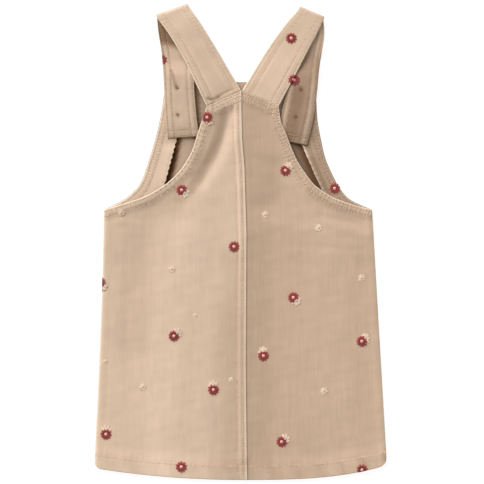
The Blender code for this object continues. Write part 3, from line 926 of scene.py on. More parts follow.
def rgba(colour, factor=1.0):
    """A colour property as a node value, scaled by one factor or by one for each channel."""
    factors = factor if isinstance(factor, tuple) else (factor,) * 3
    return tuple(c * f for c, f in zip(colour, factors)) + (1.0,)


# ---- shared effects


def cord_ribs(name):
    """Fine cut-pile ribs with streaks and patches of nap."""
    inputs = [
        ("Grain", VECTOR, None),
        ("Pile", COLOUR, (0.6, 0.45, 0.33, 1.0)),
        ("Groove", COLOUR, (0.4, 0.3, 0.2, 1.0)),
        ("Pitch", NUMBER, 0.00125),
        ("Nap", NUMBER, 0.1),
    ]
    nodes, given, out = new_tree(name, inputs, [("Colour", COLOUR), ("Height", NUMBER)])
    grain = given["Grain"]
    sway = nodes.times(nodes.minus(nodes.noise(grain, 28.0), 0.5), 0.0022)
    across = nodes.add("ShaderNodeSeparateXYZ", {0: grain}).outputs[0]
    phase = nodes.maths("DIVIDE", nodes.plus(across, sway), given["Pitch"])
    wave = nodes.maths("ABSOLUTE", nodes.maths("SINE", nodes.times(phase, math.pi)))
    rib = nodes.maths("POWER", wave, 0.6)
    tufts = nodes.streaks(grain, 1100.0, 620.0, 3.0)
    streak = nodes.streaks(grain, 420.0, 26.0, 3.0)
    patch = nodes.streaks(grain, 34.0, 22.0, 4.0)
    shade = nodes.blend(rib, given["Groove"], given["Pile"])
    uneven = nodes.plus(nodes.times(streak, 1.1), nodes.times(patch, 0.9))
    uneven = nodes.plus(uneven, nodes.times(tufts, 0.5))
    level = nodes.plus(nodes.times(nodes.minus(uneven, 1.25), given["Nap"]), 1.0)
    nodes.join(nodes.vectors("SCALE", {0: shade, "Scale": level}), out["Colour"])
    nodes.join(nodes.plus(nodes.times(rib, 0.00016), nodes.times(tufts, 0.00012)), out["Height"])
    return nodes.tree


def wrong_side(name):
    """The plain woven back of the cloth."""
    inputs = [("Grain", VECTOR, None), ("Yarn", COLOUR, (0.55, 0.42, 0.3, 1.0)), ("Nap", NUMBER, 0.1)]
    nodes, given, out = new_tree(name, inputs, [("Colour", COLOUR), ("Height", NUMBER)])
    grain = given["Grain"]
    parts = nodes.add("ShaderNodeSeparateXYZ", {0: grain}).outputs
    warp = nodes.maths("SINE", nodes.times(parts[0], 7200.0))
    weft = nodes.maths("SINE", nodes.times(parts[1], 9000.0))
    weave = nodes.times(warp, weft)
    patch = nodes.streaks(grain, 60.0, 40.0, 4.0)
    slub = nodes.streaks(grain, 700.0, 60.0, 2.0)
    uneven = nodes.plus(nodes.plus(patch, slub), nodes.times(weave, 0.15))
    level = nodes.plus(nodes.times(nodes.minus(uneven, 1.0), given["Nap"]), 1.0)
    nodes.join(nodes.vectors("SCALE", {0: given["Yarn"], "Scale": level}), out["Colour"])
    nodes.join(nodes.times(weave, 0.00005), out["Height"])
    return nodes.tree


def worn_edge(name):
    """Lighter, rubbed pile along the folded edges."""
    inputs = [
        ("Colour", COLOUR, (0.6, 0.45, 0.33, 1.0)),
        ("Rubbed", COLOUR, (0.8, 0.68, 0.54, 1.0)),
        ("Worn", NUMBER, 0.0),
        ("Grain", VECTOR, None),
    ]
    nodes, given, out = new_tree(name, inputs, [("Colour", COLOUR)])
    broken = nodes.streaks(given["Grain"], 500.0, 500.0, 2.0)
    share = nodes.times(given["Worn"], nodes.plus(broken, 0.5))
    share = nodes.maths("MINIMUM", share, 1.0)
    nodes.join(nodes.blend(share, given["Colour"], given["Rubbed"]), out["Colour"])
    return nodes.tree


def deep_pile(name):
    """Painted shade: the colour made darker and warmer as its tone falls."""
    inputs = [("Colour", COLOUR, (0.6, 0.45, 0.33, 1.0)), ("Tone", NUMBER, 1.0)]
    nodes, given, out = new_tree(name, inputs, [("Colour", COLOUR)])
    lit = tuple(1.0 - share for share in DARKEST_PAINTED_SHADE)
    depth = nodes.vectors("MULTIPLY_ADD", {0: given["Tone"], 1: lit, 2: DARKEST_PAINTED_SHADE})
    nodes.join(nodes.vectors("MULTIPLY", {0: given["Colour"], 1: depth}), out["Colour"])
    return nodes.tree


def seam_ladder(name):
    """Small uneven puckers across a band between stitched rows, with painted shade in their hollows."""
    inputs = [("Travelled", NUMBER, 0.0), ("Band", NUMBER, 0.0), ("Grain", VECTOR, None)]
    nodes, given, out = new_tree(name, inputs, [("Height", NUMBER), ("Tone", NUMBER)])
    drift = nodes.times(nodes.noise(given["Grain"], 150.0, 2.0), 15.0)
    phase = nodes.times(given["Travelled"], 2.0 * math.pi / LADDER_PITCH)
    wave = nodes.maths("SINE", nodes.plus(phase, drift))
    strength = nodes.times(given["Band"], nodes.noise(given["Grain"], 90.0, 1.0))
    swell = nodes.times(wave, strength)
    nodes.join(nodes.times(swell, 0.00026), out["Height"])
    nodes.join(nodes.times(nodes.minus(swell, strength), 0.06), out["Tone"])
    return nodes.tree


def spun_thread(name):
    """Twisted thread whose strands differ a little."""
    inputs = [
        ("Colour", COLOUR, (0.6, 0.1, 0.1, 1.0)),
        ("Tip", COLOUR, (0.8, 0.5, 0.45, 1.0)),
        ("Along", NUMBER, 0.0),
        ("Strand", NUMBER, 0.5),
    ]
    nodes, given, out = new_tree(name, inputs, [("Colour", COLOUR), ("Height", NUMBER)])
    place = nodes.add("ShaderNodeTexCoord").outputs["Object"]
    fibre = nodes.noise(place, 2600.0, 2.0)
    base = nodes.blend(given["Along"], given["Colour"], given["Tip"])
    shade = nodes.plus(nodes.times(given["Strand"], 0.5), nodes.times(fibre, 0.4))
    nodes.join(nodes.vectors("SCALE", {0: base, "Scale": nodes.plus(shade, 0.55)}), out["Colour"])
    nodes.join(nodes.times(fibre, 0.00005), out["Height"])
    return nodes.tree


# ---- finishes


def new_finish(name):
    """An empty material with its shader, or None if it is already made."""
    if name in bpy.data.materials:
        return None, None, None
    material = bpy.data.materials.new(name)
    material.use_nodes = True
    return material, Nodes(material.node_tree), material.node_tree.nodes["Principled BSDF"]


def bump(nodes, height, strength):
    """The normal of a surface raised by a height in metres."""
    raised_by = {"Height": height, "Strength": strength, "Distance": 1.0}
    return nodes.add("ShaderNodeBump", raised_by).outputs["Normal"]


def brushed(colour, weight):
    """The soft light that brushed pile gives at its edges."""
    return {
        "Roughness": 0.92,
        "Specular IOR Level": 0.15,
        "Sheen Weight": weight,
        "Sheen Roughness": 0.45,
        "Sheen Tint": rgba(colour),
    }


def needlecord(name, tone):
    """Fine cord, with a tone for each cut piece and the painted shade of its tone mask."""
    material, nodes, shader = new_finish(name)
    if material is None:
        return bpy.data.materials[name]
    colours = bpy.context.scene.pinafore_colours
    sizes = bpy.context.scene.pinafore_sizes
    grain = nodes.add("ShaderNodeUVMap", uv_map="grain").outputs[0]
    pile, groove, rubbed = (rgba(c, tone) for c in (colours.cord, colours.cord_groove, colours.cord_rubbed))
    cord = {"Grain": grain, "Pile": pile, "Groove": groove, "Pitch": sizes.rib_pitch, "Nap": sizes.nap}
    ribs = nodes.group(cord_ribs, cord)
    edge = {"Colour": ribs["Colour"], "Rubbed": rubbed, "Worn": nodes.mask("worn"), "Grain": grain}
    worn = nodes.group(worn_edge, edge)
    band = {"Travelled": nodes.mask("travelled"), "Band": nodes.mask("band"), "Grain": grain}
    ladder = nodes.group(seam_ladder, band)
    # painted shade and light: the tone mask and the painted shade in the puckers' hollows darken the colour
    lightness = nodes.plus(nodes.mask("tone"), ladder["Tone"])
    deep = nodes.group(deep_pile, {"Colour": worn["Colour"], "Tone": lightness})
    height = nodes.plus(ribs["Height"], ladder["Height"])
    nodes.feed(shader, {"Base Color": deep["Colour"], "Normal": bump(nodes, height, 0.7)})
    nodes.feed(shader, brushed(colours.cord_rubbed, 0.25))
    return material


def cord_wrong_side():
    """The woven inside of the dress, darkened by the painted shade of its tone mask."""
    material, nodes, shader = new_finish("needlecord_wrong_side")
    if material is None:
        return bpy.data.materials["needlecord_wrong_side"]
    colours = bpy.context.scene.pinafore_colours
    grain = nodes.add("ShaderNodeUVMap", uv_map="grain").outputs[0]
    woven = nodes.group(wrong_side, {"Grain": grain, "Yarn": rgba(colours.cord_inside), "Nap": 0.12})
    deep = nodes.group(deep_pile, {"Colour": woven["Colour"], "Tone": nodes.mask("tone")})
    nodes.feed(shader, {"Base Color": deep["Colour"], "Normal": bump(nodes, woven["Height"], 0.6)})
    nodes.feed(shader, brushed(colours.cord_rubbed, 0.1))
    return material


def thread_finish(name, colour, tip, roughness, sheen):
    """A thread's finish, with another colour towards the ends of its stitches."""
    material, nodes, shader = new_finish(name)
    if material is None:
        return bpy.data.materials[name]
    colours = bpy.context.scene.pinafore_colours
    strands = {
        "Colour": rgba(getattr(colours, colour)),
        "Tip": rgba(getattr(colours, tip)),
        "Along": nodes.mask("along"),
        "Strand": nodes.mask("strand"),
    }
    spun = nodes.group(spun_thread, strands)
    nodes.feed(shader, {"Base Color": spun["Colour"], "Normal": bump(nodes, spun["Height"], 0.5)})
    nodes.feed(shader, {"Roughness": roughness, "Specular IOR Level": 0.35, "Sheen Weight": sheen})
    return material


def topstitch_thread():
    """Beige sewing thread."""
    return thread_finish("topstitch_thread", "thread", "thread", 0.6, 0.2)


def inside_thread():
    """The topstitching thread painted darker, as painted shade, for the rows on the inside and on the right
    facing.
    """
    return thread_finish("inside_thread", "inside_thread", "inside_thread", 0.6, 0.2)


def red_thread():
    """Red embroidery thread, pinker where it enters the cloth."""
    return thread_finish("red_embroidery", "petal", "petal_tip", 0.5, 0.1)


def pink_thread():
    """Pale pink thread of the daisies' middles."""
    return thread_finish("pink_embroidery", "daisy_middle", "daisy_middle", 0.5, 0.1)


def cream_thread():
    """Cream embroidery thread."""
    return thread_finish("cream_embroidery", "cream", "cream_tip", 0.5, 0.1)


def button_thread():
    """Brown thread that holds the buttons."""
    return thread_finish("button_thread", "button_thread", "button_thread", 0.6, 0.1)


def horn():
    """Horn-coloured buttons, with soft streaks and a satin face."""
    material, nodes, shader = new_finish("horn_button")
    if material is None:
        return bpy.data.materials["horn_button"]
    colour = bpy.context.scene.pinafore_colours.horn
    place = nodes.add("ShaderNodeTexCoord").outputs["Object"]
    streaks = nodes.streaks(place, 900.0, 160.0, 4.0, 900.0)
    scratches = nodes.times(nodes.noise(place, 1800.0, 3.0), 0.00003)
    look = {
        "Base Color": nodes.blend(streaks, rgba(colour, 0.55), rgba(colour, 1.6)),
        "Roughness": nodes.plus(nodes.times(streaks, 0.2), 0.22),
        "Normal": bump(nodes, scratches, 0.4),
        "Coat Weight": 0.3,
    }
    nodes.feed(shader, look)
    return material


def floor_finish():
    """A pale floor, a little self-lit so that it stays plain."""
    material, nodes, shader = new_finish("pale_floor")
    if material is None:
        return bpy.data.materials["pale_floor"]
    place = nodes.add("ShaderNodeTexCoord").outputs["Object"]
    grey = nodes.plus(nodes.times(nodes.noise(place, 3.0), 0.01), 0.12)
    look = {
        "Base Color": nodes.add("ShaderNodeCombineColor", {0: grey, 1: grey, 2: grey}).outputs[0],
        "Roughness": 0.8,
        "Emission Color": (1.0, 1.0, 1.0, 1.0),
        "Emission Strength": 0.9,
    }
    nodes.feed(shader, look)
    return material


# ---- geometry trees


def stitch_rows(name):
    """Plump stitches laid end to end along lines."""
    inputs = [
        ("Lines", SHAPE, None),
        ("Pitch", NUMBER, 0.003),
        ("Stitch Length", NUMBER, 0.0026),
        ("Thickness", NUMBER, 0.0006),
        ("Seed", WHOLE, 3),
        ("Finish", FINISH, None),
    ]
    nodes, given, out = new_tree(name, inputs, [("Stitches", SHAPE)], "GeometryNodeTree")
    curve = nodes.step("MeshToCurve", {0: given["Lines"]})
    pitch = {"Curve": curve, "Length": given["Pitch"]}
    spread = nodes.add("GeometryNodeCurveToPoints", pitch, mode="LENGTH").outputs
    grain = nodes.step("MeshUVSphere", {"Segments": 6, "Rings": 4, "Radius": 0.5})
    size = nodes.vector({0: given["Thickness"], 1: given["Thickness"], 2: given["Stitch Length"]})
    stitches = {
        "Points": spread["Points"],
        "Instance": nodes.step("Transform", {"Geometry": grain, "Scale": size}),
        "Rotation": spread["Rotation"],
        "Scale": nodes.random(given["Seed"], 0.85, 1.1),
    }
    placed = nodes.step("InstanceOnPoints", stitches)
    shaded_each = nodes.stored(placed, "strand", nodes.random(11), "INSTANCE")
    real = nodes.step("SetShadeSmooth", {0: nodes.step("RealizeInstances", {0: shaded_each})})
    nodes.join(nodes.step("SetMaterial", {"Geometry": real, "Material": given["Finish"]}), out["Stitches"])
    return nodes.tree


def tube(nodes, curve, thickness, corners):
    """Smooth round thread along a curve."""
    radius = nodes.maths("DIVIDE", thickness, 2.0)
    ring = nodes.step("CurvePrimitiveCircle", {"Resolution": corners, "Radius": radius})
    thread = nodes.step("CurveToMesh", {"Curve": curve, "Profile Curve": ring, "Fill Caps": True})
    return nodes.step("SetShadeSmooth", {0: thread})


def thread_paths(name):
    """Round thread along lines."""
    inputs = [("Lines", SHAPE, None), ("Thickness", NUMBER, 0.0005), ("Finish", FINISH, None)]
    nodes, given, out = new_tree(name, inputs, [("Threads", SHAPE)], "GeometryNodeTree")
    curve = nodes.step("MeshToCurve", {0: given["Lines"]})
    real = nodes.step("RealizeInstances", {0: tube(nodes, curve, given["Thickness"], 6)})
    nodes.join(nodes.step("SetMaterial", {"Geometry": real, "Material": given["Finish"]}), out["Threads"])
    return nodes.tree


def daisy_thread(nodes, given):
    """One thread of a petal, bowed up from the daisy's middle to the petal's tip."""
    start = nodes.vector({0: given["Inner Radius"]})
    end = nodes.vector({0: given["Outer Radius"]})
    line = nodes.step("CurvePrimitiveLine", {"Start": start, "End": end})
    fine = nodes.step("ResampleCurve", {"Curve": line, "Count": 5})
    along = nodes.add("GeometryNodeSplineParameter").outputs["Factor"]
    arch = nodes.maths("SINE", nodes.times(along, math.pi))
    lift = nodes.vector({2: nodes.times(arch, given["Rise"])})
    bowed = nodes.step("SetPosition", {"Geometry": fine, "Offset": lift})
    marked = nodes.stored(bowed, "along", nodes.maths("POWER", along, 2.4), "POINT")
    return tube(nodes, marked, given["Thickness"], 4)


def daisy_petals(nodes, given):
    """The threads of one daisy, fanned out in petals."""
    count = nodes.times(given["Petals"], given["Threads per Petal"])
    spokes = nodes.step("MeshLine", {"Count": count, "Offset": (0.0, 0.0, 0.0)}, mode="OFFSET")
    index = nodes.step("InputIndex")
    phase = nodes.maths("DIVIDE", nodes.plus(index, 0.5), given["Threads per Petal"])
    petal = nodes.maths("DIVIDE", nodes.maths("FLOOR", phase), given["Petals"])
    place = nodes.maths("FRACT", phase)
    lean = nodes.times(nodes.minus(place, 0.5), given["Petal Spread"])
    turn = nodes.vector({2: nodes.plus(nodes.times(petal, 2.0 * math.pi), lean)})
    bulge = nodes.maths("SINE", nodes.times(place, math.pi))
    uneven = nodes.plus(nodes.random(given["Seed"], -0.05, 0.05), 0.8)
    stretch = nodes.vector({0: nodes.plus(nodes.times(bulge, 0.2), uneven), 1: 1.0, 2: 1.0})
    threads = {"Points": spokes, "Instance": daisy_thread(nodes, given), "Rotation": turn, "Scale": stretch}
    fan = nodes.stored(nodes.step("InstanceOnPoints", threads), "strand", nodes.random(7), "INSTANCE")
    fan = nodes.step("RealizeInstances", {0: fan})
    return nodes.step("SetMaterial", {"Geometry": fan, "Material": given["Petal Finish"]})


def daisy_knots(nodes, given):
    """A flat knot in the middle of a daisy, in a ring of smaller ones."""
    knot = nodes.step("MeshIcoSphere", {"Radius": given["Knot Size"], "Subdivisions": 2})
    low = nodes.step("Transform", {"Geometry": knot, "Scale": (1.0, 1.0, 0.55)})
    spots = nodes.step("MeshCircle", {"Vertices": 5, "Radius": given["Inner Radius"]})
    ring = nodes.step("InstanceOnPoints", {"Points": spots, "Instance": low, "Scale": (0.62, 0.62, 0.62)})
    middle = nodes.together(ring, low)
    middle = nodes.step("Transform", {"Geometry": middle, "Translation": (0.0, 0.0, 0.0004)})
    middle = nodes.step("SetShadeSmooth", {0: nodes.step("RealizeInstances", {0: middle})})
    return nodes.step("SetMaterial", {"Geometry": middle, "Material": given["Middle Finish"]})


def embroidered_daisies(name):
    """Satin-stitched daisies on points, each with its facing, spin and size."""
    inputs = [
        ("Places", SHAPE, None),
        ("Petals", WHOLE, 10),
        ("Threads per Petal", WHOLE, 5),
        ("Petal Spread", NUMBER, 0.52),
        ("Inner Radius", NUMBER, 0.0012),
        ("Outer Radius", NUMBER, 0.0058),
        ("Rise", NUMBER, 0.0006),
        ("Thickness", NUMBER, 0.0006),
        ("Knot Size", NUMBER, 0.0011),
        ("Flatness", NUMBER, 1.0),
        ("Seed", WHOLE, 5),
        ("Petal Finish", FINISH, None),
        ("Middle Finish", FINISH, None),
    ]
    nodes, given, out = new_tree(name, inputs, [("Daisies", SHAPE)], "GeometryNodeTree")
    whole = nodes.together(daisy_petals(nodes, given), daisy_knots(nodes, given))
    spots = nodes.step("MeshToPoints", {0: given["Places"]})
    facing = nodes.step("InputNamedAttribute", {"Name": "facing"}, data_type="FLOAT_VECTOR")
    spin = nodes.step("InputNamedAttribute", {"Name": "spin"}, data_type="FLOAT")
    size = nodes.step("InputNamedAttribute", {"Name": "size"}, data_type="FLOAT")
    scale = nodes.vector({0: size, 1: size, 2: nodes.times(size, given["Flatness"])})
    upright = nodes.add("FunctionNodeAlignRotationToVector", {"Vector": facing}, axis="Z").outputs[0]
    upwards = {"Axis": (0.0, 0.0, 1.0), "Angle": spin}
    about = nodes.add("FunctionNodeAxisAngleToRotation", upwards).outputs[0]
    turned = nodes.add("FunctionNodeRotateRotation", {0: upright, 1: about}, rotation_space="LOCAL")
    daisies = {"Points": spots, "Instance": whole, "Rotation": turned.outputs[0], "Scale": scale}
    nodes.join(nodes.step("RealizeInstances", {0: nodes.step("InstanceOnPoints", daisies)}), out["Daisies"])
    return nodes.tree


def grown(name, source, build, values):
    """The plain mesh that a geometry tree makes from a source object, on the dress's body."""
    modifier = source.modifiers.new("grow", "NODES")
    modifier.node_group = shared(build)
    for item in modifier.node_group.interface.items_tree:
        if item.in_out == "INPUT" and item.name in values:
            modifier[item.identifier] = values[item.name]
    bpy.context.view_layer.update()
    evaluated = source.evaluated_get(bpy.context.evaluated_depsgraph_get())
    mesh = bpy.data.meshes.new_from_object(evaluated)
    mesh.name = name
    source.modifiers.remove(modifier)
    bpy.data.objects.remove(source)
    piece = new_object(name, mesh)
    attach(piece, BODY)
    return piece


def sewn(name, lines, finish):
    """Rows of stitches along lines."""
    sizes = bpy.context.scene.pinafore_sizes
    values = {
        "Pitch": sizes.stitch_pitch,
        "Stitch Length": sizes.stitch_length,
        "Thickness": sizes.thread_thickness,
        "Finish": finish,
    }
    return grown(name, line_piece(name + "_lines", lines), stitch_rows, values)


def threaded(name, lines, thickness, finish):
    """Round thread along lines."""
    values = {"Thickness": thickness * MM, "Finish": finish}
    return grown(name, line_piece(name + "_lines", lines), thread_paths, values)


# ---- the back


def armhole_line(half):
    """The back's armhole edge, from the side seam up."""
    return spaced(BACK_ARMHOLE[half.name])


def yoke_line(half):
    """Where the strap is sewn to the back."""
    seam = (STRAPS[0] if half is LEFT else STRAPS[1]).seam
    return even([Point(seam.outer_x, seam.outer_y), Point(seam.inner_x, seam.inner_y)])


def centre_line(half):
    """The centre back seam on one half, from the hem up."""
    ys = np.linspace(HEM_Y, CENTRE_SEAM[-1][1], 120)
    line = [Point(float(seam_x(y)) + half.side * GAP / 2, float(y)) for y in ys]
    line[0] = Point(line[0].x, float(hem_line(line[0].x)))
    return even(line)


def beaded(distance, along, rows, pitch):
    """Painted shade in spots along stitched rows where each stitch pulls in, with painted light on the
    cloth between them.
    """
    spot = 0.5 + 0.5 * uneven_wave(along, pitch, 3)
    return 0.55 * np.clip(stitched(distance, rows, 1.1) * (spot - 0.42), -0.3, 0.6)


def back_surfaces(half, x, y):
    """Bottom, top and masks of one half of the back at places."""
    side = half.side
    armhole, along_armhole = nearest(x, y, armhole_line(half))
    yoke, along_yoke = nearest(x, y, yoke_line(half))
    seam = side * (x - seam_x(y))
    hem = y - hem_line(x)
    flank = side * (side_x(half, y) - x)
    # Turned cloth along the edges
    at_armhole = fade(armhole, 6.5, 14)
    at_yoke = fade(yoke, 9, 16)
    lap = 0.85 * fade(seam, LAP_BAND, LAP_BAND + 2.5) if half is LEFT else 0.5 * fade(seam, 1, 9)
    turned = np.maximum.reduce([at_armhole, at_yoke, fade(hem, 13, 30), lap])
    bottom = back_seat(x, y)
    top = bottom + WALL + (TURNED - WALL) * turned
    # Creases, ripples, and stitched rows with the puckers beside them
    wander_x = x + 2 * ripple(x, y, 45, 1)
    wander_y = y + 2 * ripple(x, y, 45, 2)
    top += fold_height(wander_x, wander_y, BACK_CREASES)
    top = top + 0.12 * ripple(x, y, 26, 3) + 0.06 * ripple(x * 0.4, y, 9, 4)
    rows = 0.8 * stitched(armhole, EDGE_ROWS) + 0.6 * stitched(yoke, YOKE_ROWS)
    if half is LEFT:
        rows += 0.6 * stitched(seam, LAP_ROWS)
    rows = np.minimum(rows + 0.5 * stitched(hem, [HEM_ROW], 1.3), 1.2)
    top -= 0.45 * rows
    pucker = PUCKERS[half.name]
    top += pucker.height * uneven_wave(along_armhole, pucker.pitch, side) * fade(armhole, 6, 15)
    top += 0.2 * uneven_wave(along_yoke, YOKE_PITCH, 2 + side) * at_yoke
    swell = uneven_wave(x + 0.3 * hem, HEM_PUCKER.pitch, 1 + side)
    in_hem = fade(hem, 13.5, 18)
    creased = np.minimum(np.exp(-(swell + 0.9) / 0.12) / 3 * in_hem, 1)
    top = top + HEM_PUCKER.height * swell * fade(hem, 14.5, 24) - HEM_CREASE * creased
    top += 0.14 * uneven_wave(x, 6.1, 5 + side) * fade(np.abs(hem - HEM_ROW), 1, 5)
    top += 0.3 * fade(flank, 7, 9.5) * smooth(flank / 4)
    # Rounded edges, where both faces meet at a share of the thickness
    round_edges = rounded(np.minimum(armhole, hem), 1.25)
    closing = least(round_edges, rounded(yoke, 0.3), rounded(flank, 2.8), rounded(seam, 0.6))
    closing = np.where(least(armhole, yoke, hem, flank, seam) < ON_OUTLINE, 0, closing)
    share = 0.5 * smooth(flank / 6) + 0.3 * fade(np.minimum(seam, yoke), 1, 4)
    pinch = bottom + (top - bottom) * share
    # Rubbed edges, and painted shade and light: darker in the stitched grooves and in spots along the rows,
    # in the hem's creases, above the hem and beside the lap, lighter on the hem's puffs and on the lap's
    # edge and band
    worn = 0.8 * bell(armhole, 1.3) + 0.6 * bell(hem, 1)
    worn = worn + 0.4 * bell(flank, 1.5) + 0.5 * bell(yoke, 1)
    if half is LEFT:
        worn += 0.7 * bell(seam, 1.4)
    beside_lap = (0.25 if half is LEFT else 0.1) * fade(seam, 7, 10)
    painted_shading = 0.2 * np.minimum(rows, 1) + 0.25 * creased - 0.07 * in_hem * smooth(swell + 0.3)
    painted_shading += 0.2 * bell(hem - 17, 1.4) * (0.5 + 0.5 * fade(-swell, 0.2, 1))
    painted_shading += beaded(armhole, along_armhole, BEADED_ROWS[half.name], pucker.pitch)
    painted_shading += 0.7 * beaded(yoke, along_yoke, YOKE_ROWS, YOKE_PITCH)
    painted_shading = painted_shading + 0.14 * stitched(yoke, YOKE_ROWS, 0.8) - 0.09 * stitched(yoke, (3.6, 7.6), 1)
    if half is LEFT:
        lit_lip = 0.09 * bell(seam - 2, 0.9)
        lit_band = 0.05 * fade(np.abs(seam - 7.4), 1.4, 3)
        painted_shading = painted_shading + 0.16 * stitched(seam, LAP_ROWS[:1], 0.9) - lit_band - lit_lip
    else:
        painted_shading += 0.45 * bell(seam, 1.6)
    along_hem = 0.6 * fade(np.abs(hem - HEM_ROW), 1, 4)
    bands = [fade(armhole, 8, 13) * smooth(armhole), fade(yoke, 9.5, 13), beside_lap, along_hem]
    strongest = np.argmax(bands, axis=0)
    masks = {
        "worn": np.clip(worn, 0, 1),
        "tone": shaded(x, y, BACK_SHADES) * (1 - painted_shading),
        "band": np.max(bands, axis=0),
        "travelled": np.choose(strongest, [along_armhole, along_yoke, y, x]),
    }
    return pinch + (bottom - pinch) * closing, pinch + (top - pinch) * closing, masks


def make_back(half):
    """One half of the back, with its cut."""
    plan = triangulated(back_borders(half), half.side, BACK_SPACING)
    outer = needlecord("needlecord_" + half.name, PANEL_TINTS[half.name])
    surfaces = partial(back_surfaces, half)
    piece = shell_from_plan("cloth_back_" + half.name, plan, surfaces, outer, cord_wrong_side(), True)
    finish_panel(piece, "back_" + half.name)


def finish_sheet(piece, node):
    """Let a cloth stand for its solid and ride with the dress."""
    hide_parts(node)
    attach(piece, BODY)


def finish_panel(piece, node):
    """Finish a sheet that is cut to its outline."""
    finish_sheet(piece, node)


WITH = {}


def adorn(cloth, piece):
    """Note that a piece of stitching or embroidery is on a cloth."""
    WITH.setdefault(cloth, []).append(piece)


def back_row(half, line, rise):
    """A stitched row on the back, resting in its groove."""
    xs, ys = np.array(line).T
    top = back_surfaces(half, xs, ys)[1]
    return np.column_stack([xs, ys, top + rise])


def make_back_stitching(half):
    """Twin rows round the armhole, at the strap and the lap, and the hem's row."""
    side = half.side
    seam = centre_line(half)
    rows = [offset_line(armhole_line(half), side, row)[1:] for row in EDGE_ROWS]
    rows += [offset_line(yoke_line(half), side, row)[1:-1] for row in YOKE_ROWS]
    if half is LEFT:
        rows += [[Point(p.x - row, p.y) for p in seam if p.y > HEM_Y + 1] for row in LAP_ROWS]
    hem = hem_edge(seam[0].x + side, side * (HEM_HALF - 2.5))
    rows.append([Point(p.x, p.y + HEM_ROW) for p in hem])
    loop = joined([border.points for border in back_borders(half)])
    lines = []
    for number, row in enumerate(rows):
        row = kept_on(loop, row)
        if len(row) > 2:
            lines.append(back_row(half, row, ROW_RISE if number < len(rows) - 1 else 0))
    piece = sewn("topstitching_back_" + half.name, lines, topstitch_thread())
    adorn("cloth_back_" + half.name, piece)


def back_borders(half):
    """The borders of one half of the back, in order."""
    seam = centre_line(half)
    return [
        Border(hem_edge(seam[0].x, half.side * (HEM_HALF - HEM_CORNER)), HEM_LINES),
        Border(side_edge(half), SIDE_LINES),
        Border(armhole_line(half), STITCHED_LINES),
        Border(yoke_line(half), STITCHED_LINES),
        Border(seam[::-1], LAP_LINES),
    ]


# ---- the front


def front_armhole(name):
    """One of the front's armhole edges, from the side seam up."""
    return spaced(FRONT_ARMHOLE[name])


def front_borders():
    """The borders of the front, in order."""
    reach = HEM_HALF - HEM_CORNER
    xs = np.linspace(BIB_HALF, -BIB_HALF, 40)
    bib = even([Point(float(x), float(bib_top(x))) for x in xs])
    return [
        Border(hem_edge(-reach, reach), HEM_LINES),
        Border(side_edge(RIGHT), EDGE_LINES + (2.4,)),
        Border(front_armhole("right"), BIB_LINES),
        Border(bib, BIB_LINES),
        Border(front_armhole("left")[::-1], BIB_LINES),
        Border(side_edge(LEFT)[::-1], EDGE_LINES + (2.4,)),
    ]


def front_edges(x, y):
    """Distances to the front's armholes, bib edge, hem and side seams."""
    right = nearest(x, y, front_armhole("right"))
    left = nearest(x, y, front_armhole("left"))
    armhole = np.minimum(right[0], left[0])
    along = np.where(right[0] < left[0], right[1], left[1])
    bib = bib_top(x) - y
    hem = y - hem_line(x)
    flank = np.minimum(side_x(RIGHT, y) - x, x - side_x(LEFT, y))
    return armhole, along, bib, hem, flank


def front_surfaces(x, y):
    """Bottom, top and masks of the front at places."""
    armhole, along, bib, hem, flank = front_edges(x, y)
    lift = bib_lift(x, y)
    rows = stitched(armhole, EDGE_ROWS) + stitched(bib, EDGE_ROWS) + stitched(hem, [HEM_ROW], 1.1)
    bottom = lift + UNDER + 0.22 * np.minimum(rows, 1.2)
    bottom += 0.1 * (1 + uneven_wave(along, 4.6, 2)) * fade(armhole, 4, 11)
    bottom += 0.12 * (1 + uneven_wave(x + 0.5 * hem, 12, 2)) * fade(hem, 14, 22)
    bottom += 0.05 * (1 + ripple(x, y, 24, 6))
    top = lift + WALL + (TURNED - WALL) * hem_share(x, y) + 0.05 * ripple(x, y, 22, 7)
    bottom += 0.6 * np.maximum(fold_height(x, y, FRONT_CREASES), 0)
    closing = np.minimum(rounded(least(armhole, bib, hem), 0.8), rounded(flank, 2.2))
    closing = np.where(least(armhole, bib, hem, flank) < ON_OUTLINE, 0, closing)
    share = 0.5 + 0.5 * fade(flank, 0, 6)
    pinch = bottom + (top - bottom) * share
    worn = bell(np.minimum(armhole, bib), 1.2) + 0.6 * bell(hem, 1)
    # the tone is painted shade in the front's openings, between the layers
    masks = {
        "worn": np.clip(worn, 0, 1),
        "tone": shaded(x, y, INSIDE_SHADES),
        "band": fade(np.minimum(armhole, bib), 8, 13),
        "travelled": np.where(armhole < bib, along, x),
    }
    return pinch + (bottom - pinch) * closing, pinch + (top - pinch) * closing, masks


def make_front():
    """The front with its bib, whose outside faces the floor."""
    plan = triangulated(front_borders(), 1, FRONT_SPACING)
    outer = needlecord("needlecord_front", 0.97)
    piece = shell_from_plan("cloth_front", plan, front_surfaces, outer, cord_wrong_side(), False)
    finish_panel(piece, "front")


def front_row(line):
    """A stitched row on the front's outside."""
    xs, ys = np.array(line).T
    bottom = front_surfaces(xs, ys)[0]
    return np.column_stack([xs, ys, np.maximum(bottom - 0.05, 0.32)])


def make_front_stitching():
    """The rows round the front's armholes, bib and hem."""
    borders = front_borders()
    loop = joined([border.points for border in borders])
    rows = []
    for border in borders[2:5]:
        rows += [offset_line(border.points, 1, row)[1:-1] for row in EDGE_ROWS]
    rows.append([Point(p.x, p.y + HEM_ROW) for p in hem_edge(-HEM_HALF + 3, HEM_HALF - 3)])
    lines = [front_row(kept_on(loop, row)) for row in rows]
    adorn("cloth_front", sewn("topstitching_front", lines, topstitch_thread()))


# ---- the facings


